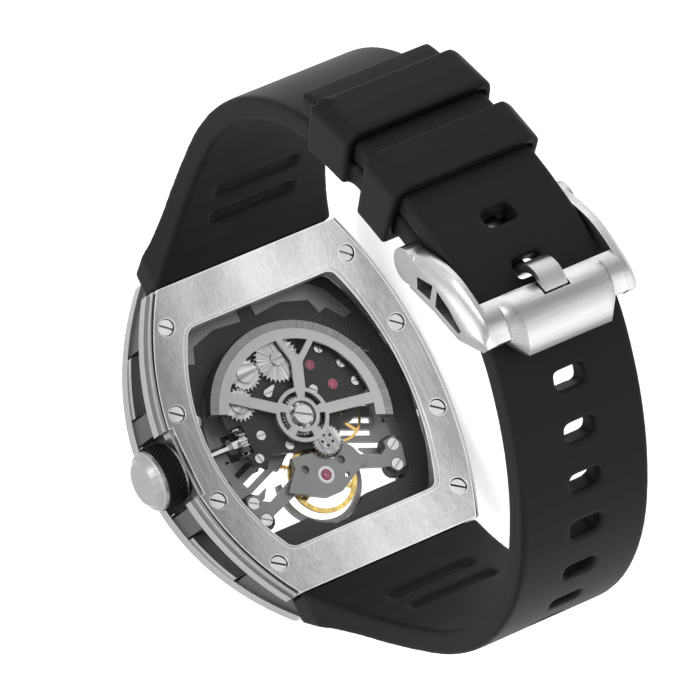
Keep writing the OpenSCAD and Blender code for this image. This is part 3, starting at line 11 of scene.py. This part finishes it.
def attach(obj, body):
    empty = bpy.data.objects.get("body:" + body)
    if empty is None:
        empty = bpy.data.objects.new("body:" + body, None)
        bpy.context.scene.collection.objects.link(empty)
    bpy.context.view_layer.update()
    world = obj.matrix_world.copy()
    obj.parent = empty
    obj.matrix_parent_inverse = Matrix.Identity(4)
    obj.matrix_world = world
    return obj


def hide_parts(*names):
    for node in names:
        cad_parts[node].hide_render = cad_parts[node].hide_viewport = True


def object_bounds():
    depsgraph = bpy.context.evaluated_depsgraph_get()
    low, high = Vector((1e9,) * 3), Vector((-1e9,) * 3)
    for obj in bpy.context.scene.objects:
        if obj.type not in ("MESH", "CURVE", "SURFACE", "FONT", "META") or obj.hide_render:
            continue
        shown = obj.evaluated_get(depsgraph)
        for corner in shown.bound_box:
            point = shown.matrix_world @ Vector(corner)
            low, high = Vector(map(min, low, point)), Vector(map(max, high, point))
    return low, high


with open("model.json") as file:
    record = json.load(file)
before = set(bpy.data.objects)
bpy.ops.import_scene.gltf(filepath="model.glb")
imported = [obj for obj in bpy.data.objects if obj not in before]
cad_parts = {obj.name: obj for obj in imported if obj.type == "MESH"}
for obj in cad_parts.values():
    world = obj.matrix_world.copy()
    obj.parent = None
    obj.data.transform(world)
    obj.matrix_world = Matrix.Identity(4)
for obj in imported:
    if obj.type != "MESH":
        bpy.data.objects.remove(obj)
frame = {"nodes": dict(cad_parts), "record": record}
cad_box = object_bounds()
nodes = frame["nodes"]
SLOTS = {row["node"]: row["material_slot"] for row in frame["record"]["subparts"]}
scene = bpy.context.scene
scene.view_settings.view_transform = "Standard"

MM = 0.001
# Where the row frame's origin lies along the watch's own z, in millimetres
CRYSTAL_Z = 0.35


def at(x, y, z):
    """A point of the watch's own frame in millimetres (x crown, y twelve, z dial) as a point of the row frame."""
    return Vector((-y, CRYSTAL_Z - z, x)) * MM


def add_object(name, data):
    """A new object in the scene."""
    made = bpy.data.objects.new(name, data)
    scene.collection.objects.link(made)
    return made


# Camera at the photograph's angle

CAMERA_PLACE = (0.1075, 1.01085, 0.5085)
CAMERA_RIGHT = Vector((0.4318, 0.3729, -0.8212))
CAMERA_LOOK = Vector((-0.0989, -0.8854, -0.4541))
CAMERA_LENS = 434.1
CAMERA_SENSOR = 36
CAMERA_NEAR = 0.01
CAMERA_FAR = 20


def add_camera():
    """The camera looks along CAMERA_LOOK, with CAMERA_RIGHT towards the picture's right side."""
    look = CAMERA_LOOK.normalized()
    up = CAMERA_RIGHT.cross(look).normalized()
    right = look.cross(up)
    turn = Matrix((right, up, -look)).transposed().to_4x4()
    data = bpy.data.cameras.new("camera")
    data.lens = CAMERA_LENS
    data.sensor_width = CAMERA_SENSOR
    data.clip_start = CAMERA_NEAR
    data.clip_end = CAMERA_FAR
    camera = add_object("camera", data)
    camera.matrix_world = Matrix.Translation(CAMERA_PLACE) @ turn
    scene.camera = camera


# Node trees


def fill(node, **values):
    """Sets constants on a node's sockets. An underscore in a name stands for a space."""
    for key, value in values.items():
        node.inputs[key.replace("_", " ")].default_value = value


class Graph:
    """The node tree of a material or the world, with short calls for the nodes that they share."""

    def __init__(self, owner):
        owner.use_nodes = True
        self.tree = owner.node_tree

    def node(self, kind, **settings):
        made = self.tree.nodes.new(kind)
        for key, value in settings.items():
            setattr(made, key, value)
        return made

    def feed(self, value, socket):
        """Puts a constant, or another node's output, into a socket."""
        if isinstance(value, bpy.types.NodeSocket):
            self.tree.links.new(value, socket)
        else:
            socket.default_value = value

    def math(self, operation, a, b=0.5):
        made = self.node("ShaderNodeMath", operation=operation)
        self.feed(a, made.inputs[0])
        self.feed(b, made.inputs[1])
        return made.outputs[0]

    def shared(self, share, a, b):
        """The sum of two patterns, where a has its share and b has the rest."""
        return self.math("ADD", self.math("MULTIPLY", a, share), self.math("MULTIPLY", b, 1 - share))

    def mixed_shader(self, factor, a, b):
        made = self.node("ShaderNodeMixShader")
        for value, socket in zip((factor, a, b), made.inputs):
            self.feed(value, socket)
        return made.outputs[0]

    def backdrop_seen(self):
        """1 where the backdrop is seen by the camera, in a reflection or through glass, and 0 where it only lights."""
        path = self.node("ShaderNodeLightPath")
        seen = self.math("MAXIMUM", path.outputs["Is Camera Ray"], path.outputs["Is Glossy Ray"])
        return self.math("MAXIMUM", seen, path.outputs["Is Transmission Ray"])


class Finish(Graph):
    """A material around one Principled shader."""

    # Cosines of the angle between the true and the rounded normal, on a face and at the middle of an edge
    ON_FACE = 0.985
    ON_EDGE = 0.85
    # Painted reflection: bright bands on a full turn about the row's Z, and where they start, in radians
    BANDS = 5.0
    BAND_START = 1.22

    def __init__(self, name):
        self.material = bpy.data.materials.new(name)
        super().__init__(self.material)
        self.shader = self.tree.nodes["Principled BSDF"]
        self.output = self.tree.nodes["Material Output"]

    def set(self, **values):
        fill(self.shader, **values)

    def place(self):
        return self.node("ShaderNodeTexCoord").outputs["Object"]

    def axes(self, vector):
        """The X, Y and Z of a vector."""
        made = self.node("ShaderNodeSeparateXYZ")
        self.feed(vector, made.inputs[0])
        return made.outputs

    def polar(self, center):
        """Angle about an axis through center along the row's Y, with the radius and the height, as one vector."""
        x, y, z = self.axes(self.place())
        dx = self.math("SUBTRACT", x, center.x)
        dz = self.math("SUBTRACT", z, center.z)
        squares = self.math("ADD", self.math("MULTIPLY", dx, dx), self.math("MULTIPLY", dz, dz))
        made = self.node("ShaderNodeCombineXYZ")
        for value, socket in zip((self.math("ARCTAN2", dz, dx), self.math("SQRT", squares), y), made.inputs):
            self.feed(value, socket)
        return made.outputs[0]

    def noise(self, scale, detail, rough=0.55, vector=None):
        """Noise at a frequency per metre on each axis, from the piece's own coordinates or from vector."""
        mapping = self.node("ShaderNodeMapping")
        fill(mapping, Scale=scale)
        self.feed(vector or self.place(), mapping.inputs["Vector"])
        made = self.node("ShaderNodeTexNoise")
        fill(made, Scale=1.0, Detail=detail, Roughness=rough)
        self.feed(mapping.outputs["Vector"], made.inputs["Vector"])
        return made.outputs["Fac"]

    def even_noise(self, scale, detail):
        return self.noise((scale, scale, scale), detail)

    def ramp(self, factor, low, high, margin=0.3):
        """Colour from low at margin to high at the same distance from 1."""
        made = self.node("ShaderNodeValToRGB")
        first, last = made.color_ramp.elements
        first.position, last.position = margin, 1 - margin
        first.color, last.color = (*low, 1), (*high, 1)
        self.feed(factor, made.inputs["Fac"])
        return made.outputs["Color"]

    def span(self, factor, low, high):
        made = self.node("ShaderNodeMapRange")
        fill(made, To_Min=low, To_Max=high)
        self.feed(factor, made.inputs["Value"])
        return made.outputs["Result"]

    def mix(self, factor, a, b, blend="MIX"):
        made = self.node("ShaderNodeMix", data_type="RGBA", blend_type=blend)
        for value, number in ((factor, 0), (a, 6), (b, 7)):
            self.feed(value, made.inputs[number])
        return made.outputs[2]

    def rounded(self, radius, samples):
        """The normal, rounded over at the edges within radius."""
        made = self.node("ShaderNodeBevel", samples=samples)
        fill(made, Radius=radius * MM)
        return made.outputs[0]

    def bump(self, height, distance, strength=1.0, edge=0.0):
        """Relief of distance millimetres over edges rounded by edge millimetres."""
        made = self.node("ShaderNodeBump")
        fill(made, Strength=strength, Distance=distance * MM)
        self.feed(height, made.inputs["Height"])
        if edge:
            self.feed(self.rounded(edge, 4), made.inputs["Normal"])
        self.feed(made.outputs[0], self.shader.inputs["Normal"])

    def edges(self, radius):
        """1 along the sharp edges of a piece and 0 on its faces."""
        flat = self.node("ShaderNodeNewGeometry")
        dot = self.node("ShaderNodeVectorMath", operation="DOT_PRODUCT")
        self.feed(self.rounded(radius, 6), dot.inputs[0])
        self.feed(flat.outputs["True Normal"], dot.inputs[1])
        made = self.node("ShaderNodeMapRange", clamp=True)
        fill(made, From_Min=self.ON_FACE, From_Max=self.ON_EDGE)
        self.feed(dot.outputs["Value"], made.inputs["Value"])
        return made.outputs["Result"]

    def open_to_sky(self, reach):
        """1 on a piece's open faces, and towards 0 in its own corners, slots and recesses; paint() darkens by it as
        painted shade.
        """
        made = self.node("ShaderNodeAmbientOcclusion", samples=6, only_local=True)
        fill(made, Distance=reach * MM)
        return made.outputs["AO"]

    def painted_reflection_bands(self, depth):
        """Painted reflection: tone that swells and fades with the way a face points about the row's Z, standing in for
        the studio seen in satin metal.
        """
        x, y, z = self.axes(self.node("ShaderNodeNewGeometry").outputs["Normal"])
        turned_by = self.math("MULTIPLY", self.math("ARCTAN2", x, y), self.BANDS)
        wave = self.math("SINE", self.math("SUBTRACT", turned_by, self.BAND_START))
        aside = self.math("SUBTRACT", 1.0, self.math("MULTIPLY", z, z))
        return self.math("ADD", self.math("MULTIPLY", self.math("MULTIPLY", wave, aside), depth), 1.0)

    def paint(self, pattern, color, spread, rough, rough_spread, painted_edge_highlight=0.0, painted_shade=0.0, reach=0.6, radius=0.1, painted_reflection=0.0):
        """Colour and roughness that vary together with one pattern.

        Edges within radius are brightened as a painted highlight, and corners within reach are darkened as painted
        shade, both in millimetres. The last setting is the depth of a painted reflection, a tone that goes with a
        face's direction.
        """
        tone = self.ramp(pattern, shade(color, 1 - spread), shade(color, 1 + spread), 0.25)
        # Painted highlight: edges brighter within radius, as if they catch the light.
        if painted_edge_highlight:
            tone = self.mix(self.edges(radius), tone, (*shade(color, 1 + painted_edge_highlight), 1))
        # Painted shade: darker in corners, slots and recesses, where shade falls.
        if painted_shade:
            lit = self.span(self.open_to_sky(reach), 1 - painted_shade, 1.0)
            tone = self.mix(1.0, tone, lit, "MULTIPLY")
        # Painted reflection: tone set by the way a face points.
        if painted_reflection:
            tone = self.mix(1.0, tone, self.painted_reflection_bands(painted_reflection), "MULTIPLY")
        self.feed(tone, self.shader.inputs["Base Color"])
        roughness = self.span(pattern, rough - rough_spread, rough + rough_spread)
        self.feed(roughness, self.shader.inputs["Roughness"])


# Materials


def grey(level):
    return (level, level, level)


def shade(color, factor):
    """The colour at factor times its brightness, no brighter than 1."""
    return tuple(min(1, part * factor) for part in color)


def brushed(name, color, along=(120, 3600, 3600), painted_reflection=0.0):
    """Satin metal with straight brush lines; along holds the pattern's frequency per metre on each axis."""
    finish = Finish(name)
    lines = finish.noise(along, detail=4)
    bands = finish.noise(tuple(part / 40 + 40 for part in along), detail=2)
    finish.paint(finish.shared(0.6, lines, bands), color, 0.14, 0.32, 0.06, painted_edge_highlight=0.5, painted_shade=0.75, painted_reflection=painted_reflection)
    finish.set(Metallic=1.0)
    finish.bump(lines, 0.012, edge=0.08)
    return finish.material


def plate_satin(name, color, spread):
    """Satin metal brushed from twelve to six, with a painted highlight that makes it brighter along the middle of the
    plate, and broad soft streaks.
    """
    finish = Finish(name)
    lines = finish.noise((130, 4200, 4200), detail=5, rough=0.65)
    streaks = finish.noise((35, 160, 160), detail=3)
    half_width = 20 * MM
    aside = finish.math("ABSOLUTE", finish.axes(finish.place())["Z"])
    # Painted highlight: brighter along the middle of the plate, fading towards its sides.
    painted_highlight = finish.math("SUBTRACT", 1.0, finish.math("MULTIPLY", aside, 1 / half_width))
    fine = finish.math("MULTIPLY", finish.math("SUBTRACT", lines, 0.55), 0.5)
    tone = finish.math("ADD", finish.shared(0.4, painted_highlight, streaks), fine)
    finish.paint(tone, color, spread, 0.34, 0.04, painted_edge_highlight=0.85, painted_shade=0.75, radius=0.35)
    finish.set(Metallic=1.0)
    finish.bump(lines, 0.012, edge=0.08)
    return finish.material


def turned(name, color, center, rough=0.3, spread=0.12, rays=90.0, aniso=0.0):
    """Metal brushed in rays about a centre. With few rays and a wide spread, the rays turn into broad bright and dark
    sectors, a painted reflection.
    """
    finish = Finish(name)
    lines = finish.noise((rays, 60, 400), detail=4, rough=0.6, vector=finish.polar(center))
    finish.paint(lines, color, spread, rough, 0.08, painted_edge_highlight=0.5, painted_shade=0.85)
    finish.set(Metallic=1.0, Anisotropic=aniso)
    finish.bump(lines, 0.01, edge=0.04)
    return finish.material


def grained(name, color, rough, painted_edge_highlight, metallic=0.0, grain=2600):
    """Blasted or painted surface with fine grain and broad, faint clouding."""
    finish = Finish(name)
    fine = finish.even_noise(grain, detail=2)
    cloud = finish.even_noise(140, detail=3)
    finish.paint(finish.shared(0.5, fine, cloud), color, 0.1, rough, 0.06, painted_edge_highlight=painted_edge_highlight, painted_shade=0.8, reach=1.0, radius=0.07)
    finish.set(Metallic=metallic)
    finish.bump(fine, 0.003, strength=0.15, edge=0.05)
    return finish.material


def polished(name, color, rough=0.12):
    """Polished metal with hairline marks."""
    finish = Finish(name)
    marks = finish.noise((900, 5200, 700), detail=3)
    finish.paint(marks, color, 0.06, rough, 0.04, painted_edge_highlight=0.3, painted_shade=0.9)
    finish.set(Metallic=1.0)
    finish.bump(marks, 0.003, edge=0.05)
    return finish.material


def gem(name, color):
    """Polished synthetic ruby with faint clouding."""
    finish = Finish(name)
    cloud = finish.even_noise(900, detail=2)
    tone = finish.ramp(cloud, shade(color, 0.75), shade(color, 1.25))
    finish.feed(tone, finish.shader.inputs["Base Color"])
    finish.set(Roughness=0.06, Coat_Weight=1.0, Coat_Roughness=0.03)
    return finish.material


def clear(name):
    """Crystal: see-through, with a reflection that grows towards the edge of sight."""
    finish = Finish(name)
    through = finish.node("ShaderNodeBsdfTransparent")
    fill(through, Color=(0.985, 0.985, 0.985, 1))
    smear = finish.even_noise(60, detail=2)
    finish.feed(finish.span(smear, 0.0, 0.03), finish.shader.inputs["Roughness"])
    finish.set(Base_Color=(1, 1, 1, 1), Metallic=1.0)
    weight = finish.node("ShaderNodeFresnel")
    fill(weight, IOR=1.13)
    surface = finish.mixed_shader(weight.outputs[0], through.outputs[0], finish.shader.outputs[0])
    finish.feed(surface, finish.output.inputs["Surface"])
    return finish.material


def rubber(name, color):
    """Moulded rubber: fine skin, faint clouding and a dull sheen."""
    finish = Finish(name)
    skin = finish.even_noise(2400, detail=3)
    cloud = finish.even_noise(90, detail=4)
    finish.paint(finish.shared(0.35, skin, cloud), color, 0.16, 0.5, 0.06)
    finish.set(Specular_IOR_Level=0.1)
    finish.bump(skin, 0.012)
    return finish.material


GOLD = (0.72, 0.47, 0.15)
CENTER = at(0, 0, 0)
BARREL = at(-0.45, 8.4, 0)
# The balance's place on the watch's own x and y
BALANCE_X = 0
BALANCE_Y = -8.6

MATERIALS = {
    "satin_steel": brushed("satin_steel", grey(0.44)),
    "bright_steel": polished("bright_steel", grey(0.55)),
    "case_grey": grained("case_grey", grey(0.085), 0.45, painted_edge_highlight=1.5, metallic=0.5),
    "movement_dark": grained("movement_dark", grey(0.03), 0.42, painted_edge_highlight=3.0, metallic=0.4, grain=5000),
    "movement_grey": grained("movement_grey", grey(0.27), 0.42, painted_edge_highlight=1.4, metallic=0.7, grain=5000),
    "rotor_grey": grained("rotor_grey", grey(0.47), 0.4, painted_edge_highlight=0.6, metallic=0.9, grain=5000),
    "weight_metal": turned("weight_metal", grey(0.23), CENTER, rays=140, spread=0.35),
    # Nine wide sectors on the ratchet: painted reflection of bright and dark fans.
    "winding_steel": turned("winding_steel", grey(0.42), BARREL, rough=0.28, spread=0.85, rays=9, aniso=0.8),
    "gold_brass": polished("gold_brass", GOLD, rough=0.16),
    "blue_steel": polished("blue_steel", (0.2, 0.27, 0.42)),
    "ruby": gem("ruby", (0.42, 0.012, 0.1)),
    "black_rubber": rubber("black_rubber", grey(0.009)),
    "clear_glass": clear("clear_glass"),
    "white_lacquer": grained("white_lacquer", (0.8, 0.8, 0.78), 0.35, painted_edge_highlight=0.1),
}

# Nodes whose finish differs from that of their slot's other nodes
NODE_MATERIALS = {
    "caseback": plate_satin("satin_plate", grey(0.54), 0.42),
    # Buckle and tang carry a painted reflection in bands by face direction.
    "buckle_frame": brushed("satin_buckle", grey(0.42), along=(3000, 3000, 150), painted_reflection=0.5),
    "buckle_tang": brushed("satin_tang", grey(0.38), along=(500, 500, 3000), painted_reflection=0.3),
    "crown_cap": turned("turned_cap", grey(0.42), CENTER),
    # Five wide sectors on the balance rim: painted reflection of bright and dark bands.
    "balance_wheel": turned("gold_balance", GOLD, at(BALANCE_X, BALANCE_Y, 0), rough=0.18, spread=0.6, rays=5),
    "movement_holder": grained("holder_dark", grey(0.045), 0.5, painted_edge_highlight=2.0, metallic=0.3, grain=5000),
}


def dress(piece, material):
    piece.data.materials.clear()
    piece.data.materials.append(material)


def finish_of(node):
    return NODE_MATERIALS.get(node, MATERIALS[SLOTS[node]])


def dress_nodes():
    for node, piece in nodes.items():
        dress(piece, finish_of(node))


# Strap, keeper and buckle, rounded from their solids

# Corners nearer than this are one, in metres
WELD_GAP = 1e-6
# Edges of the buckle that are sharper than this are bevelled and shaded sharp
BUCKLE_CREASE = math.radians(32)
BUCKLE_BEVEL = 0.12 * MM
RUBBER_CREASE = math.radians(30)
RUBBER_BEVEL = 0.4 * MM


def modify(piece, kind, **settings):
    made = piece.modifiers.new(kind.lower(), kind)
    for key, value in settings.items():
        setattr(made, key, value)


def bake(piece):
    """Applies a piece's modifiers to its mesh and shades it smooth."""
    shown = piece.evaluated_get(bpy.context.evaluated_depsgraph_get())
    mesh = bpy.data.meshes.new_from_object(shown)
    piece.modifiers.clear()
    piece.data = mesh
    for face in mesh.polygons:
        face.use_smooth = True


def stand_in(piece, node, body):
    """Shows a piece on its body in place of the node's own solid."""
    dress(piece, finish_of(node))
    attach(piece, body)
    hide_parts(node)


def smooth_buckle(node, body):
    """The node's own shape, with its curves shaded smooth and its edges bevelled."""
    mesh = nodes[node].data.copy()
    work = bmesh.new()
    work.from_mesh(mesh)
    bmesh.ops.remove_doubles(work, verts=work.verts, dist=WELD_GAP)
    bmesh.ops.dissolve_limit(work, angle_limit=math.radians(1), verts=work.verts, edges=work.edges)
    work.to_mesh(mesh)
    work.free()
    piece = add_object(node + "_smooth", mesh)
    modify(piece, "BEVEL", width=BUCKLE_BEVEL, segments=2, limit_method="ANGLE", angle_limit=BUCKLE_CREASE)
    bake(piece)
    piece.data.set_sharp_from_angle(angle=BUCKLE_CREASE)
    stand_in(piece, node, body)


def soften_rubber(node, body, voxel, rounds):
    """A rubber piece: the node's solid with its edges bevelled, then softened by a voxel size and smoothing rounds."""
    piece = add_object(node + "_soft", nodes[node].data.copy())
    modify(piece, "WELD", merge_threshold=WELD_GAP)
    modify(
        piece, "BEVEL", width=RUBBER_BEVEL, segments=3, limit_method="ANGLE", angle_limit=RUBBER_CREASE,
        use_clamp_overlap=False,
    )
    modify(piece, "REMESH", mode="VOXEL", voxel_size=voxel * MM)
    modify(piece, "SMOOTH", factor=0.5, iterations=rounds)
    bake(piece)
    stand_in(piece, node, body)


# Small forms inside the case, which aren't in the source

RING_STEPS = 48
# Outlines on the watch's own x and y, clockwise as seen from the dial
SETTING_BRIDGE = [
    (5.4, 3.1), (7.6, 4.4), (11.8, 4.2), (12.6, 1.8), (12.6, -2.2), (10.8, -4.4), (7.2, -4.2), (5.6, -1.6),
]
BRACKET = [
    (1.2, 15.2), (1.2, 16.6), (5.2, 17.6), (9.6, 17.2), (12.4, 14.8), (14.6, 10.6), (13.4, 10.2), (11.4, 12.6),
    (10.2, 12.2), (9.4, 14.4), (5.4, 15.6),
]


def movement_piece(name, corners, faces, slot):
    """A piece that stands still in the case, from corners in the watch's own frame."""
    mesh = bpy.data.meshes.new(name)
    mesh.from_pydata([at(*corner) for corner in corners], [], faces)
    piece = add_object(name, mesh)
    dress(piece, MATERIALS[slot])
    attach(piece, "case")


def flat_plate(name, outline, back, front, slot):
    """A plate of the outline's shape between two levels of z."""
    count = len(outline)
    corners = [(x, y, level) for level in (back, front) for x, y in outline]
    sides = [(i, count + i, count + (i + 1) % count, (i + 1) % count) for i in range(count)]
    caps = [tuple(range(count)), tuple(reversed(range(count, 2 * count)))]
    movement_piece(name, corners, caps + sides, slot)


def ring(name, center, inner, outer, back, front, slot, start=0, sweep=360):
    """A flat ring between two levels of z, or the sector of one from start through sweep, in degrees."""
    closed = sweep == 360
    corners = []
    for i in range(RING_STEPS if closed else RING_STEPS + 1):
        angle = math.radians(start + sweep * i / RING_STEPS)
        for radius, level in ((inner, back), (outer, back), (outer, front), (inner, front)):
            corners.append((center[0] + radius * math.cos(angle), center[1] + radius * math.sin(angle), level))
    count = len(corners)
    faces = []
    for i in range(RING_STEPS):
        for k in range(4):
            a, b = 4 * i + k, 4 * i + (k + 1) % 4
            faces.append((a, (a + 4) % count, (b + 4) % count, b))
    if not closed:
        faces += [(0, 1, 2, 3), (count - 1, count - 2, count - 3, count - 4)]
    movement_piece(name, corners, faces, slot)


def add_movement_pieces():
    """Dark ring behind the rotor's rim, partly a stand-in for the case's inner wall and partly a dark piece that keeps
    the gap behind the rim in shade, then the ring round the balance's jewel, the bridge behind the winding pinion and
    two brackets between the window's top edge and the rotor."""
    # Partly the case's inner wall, partly a dark piece placed to keep the gap behind the rotor's rim in shade.
    ring("inner_ring", (0, 0), 12.4, 14.7, 7.42, 7.6, "case_grey", start=15, sweep=150)
    ring("jewel_setting", (BALANCE_X, BALANCE_Y), 0.78, 1.2, 3.2, 3.34, "bright_steel")
    flat_plate("setting_bridge", SETTING_BRIDGE, 6.86, 7.15, "movement_dark")
    mirrored = [(-x, y) for x, y in reversed(BRACKET)]
    flat_plate("bracket_crown", BRACKET, 4.15, 4.45, "movement_grey")
    flat_plate("bracket_far", mirrored, 4.15, 4.45, "movement_grey")


# Studio

FLOOR_REACH = 6
# How much the floor glows where it is seen, so that it shows white and still keeps the shadow
FLOOR_GLOW = 0.62
WORLD_LIGHT = 0.45
WORLD_SEEN = 1.0
LIGHT_AIM = Vector((0, -0.03, 0))


def white_floor():
    """Pale floor that the camera sees white, with the object's shadow left on it."""
    low = cad_box[0].z
    mesh = bpy.data.meshes.new("floor")
    corners = [(FLOOR_REACH * x, FLOOR_REACH * y, low) for x, y in ((-1, -1), (1, -1), (1, 1), (-1, 1))]
    mesh.from_pydata(corners, [], [(0, 1, 2, 3)])
    floor = add_object("floor", mesh)
    finish = Finish("floor_white")
    finish.set(Roughness=0.9, Specular_IOR_Level=0.0)
    tone = finish.ramp(finish.even_noise(2, detail=2), grey(0.83), grey(0.87))
    finish.feed(tone, finish.shader.inputs["Base Color"])
    glow = finish.node("ShaderNodeEmission")
    finish.feed(finish.math("MULTIPLY", finish.backdrop_seen(), FLOOR_GLOW), glow.inputs["Strength"])
    both = finish.node("ShaderNodeAddShader")
    finish.feed(finish.shader.outputs[0], both.inputs[0])
    finish.feed(glow.outputs[0], both.inputs[1])
    finish.feed(both.outputs[0], finish.output.inputs["Surface"])
    dress(floor, finish.material)


def white_world():
    """World that lights softly and shows white."""
    world = bpy.data.worlds.new("studio")
    scene.world = world
    graph = Graph(world)
    dim = graph.tree.nodes["Background"]
    bright = graph.node("ShaderNodeBackground")
    fill(dim, Color=(1, 1, 1, 1), Strength=WORLD_LIGHT)
    fill(bright, Color=(1, 1, 1, 1), Strength=WORLD_SEEN)
    surface = graph.mixed_shader(graph.backdrop_seen(), dim.outputs[0], bright.outputs[0])
    graph.feed(surface, graph.tree.nodes["World Output"].inputs["Surface"])


def soft_light(name, place, size, power):
    """Area light of a size in metres and a power in watts, aimed at the watch."""
    data = bpy.data.lights.new(name, "AREA")
    data.shape = "RECTANGLE"
    data.size, data.size_y = size
    data.energy = power
    lamp = add_object(name, data)
    lamp.location = place
    lamp.rotation_euler = (LIGHT_AIM - Vector(place)).to_track_quat("-Z", "Y").to_euler()


def add_lights():
    soft_light("key", (-0.55, 0.75, 0.75), (0.5, 0.5), 5)
    soft_light("fill", (0.8, 0.55, 0.2), (0.6, 0.4), 2)
    soft_light("top", (0.0, -0.1, 1.0), (0.7, 0.7), 4)


add_camera()
dress_nodes()
soften_rubber("strap_long", "case", 0.3, 9)
soften_rubber("strap_short", "case", 0.3, 9)
soften_rubber("free_keeper", "keeper", 0.24, 8)
add_movement_pieces()
smooth_buckle("buckle_frame", "buckle")
smooth_buckle("buckle_tang", "tang")
white_floor()
white_world()
add_lights()
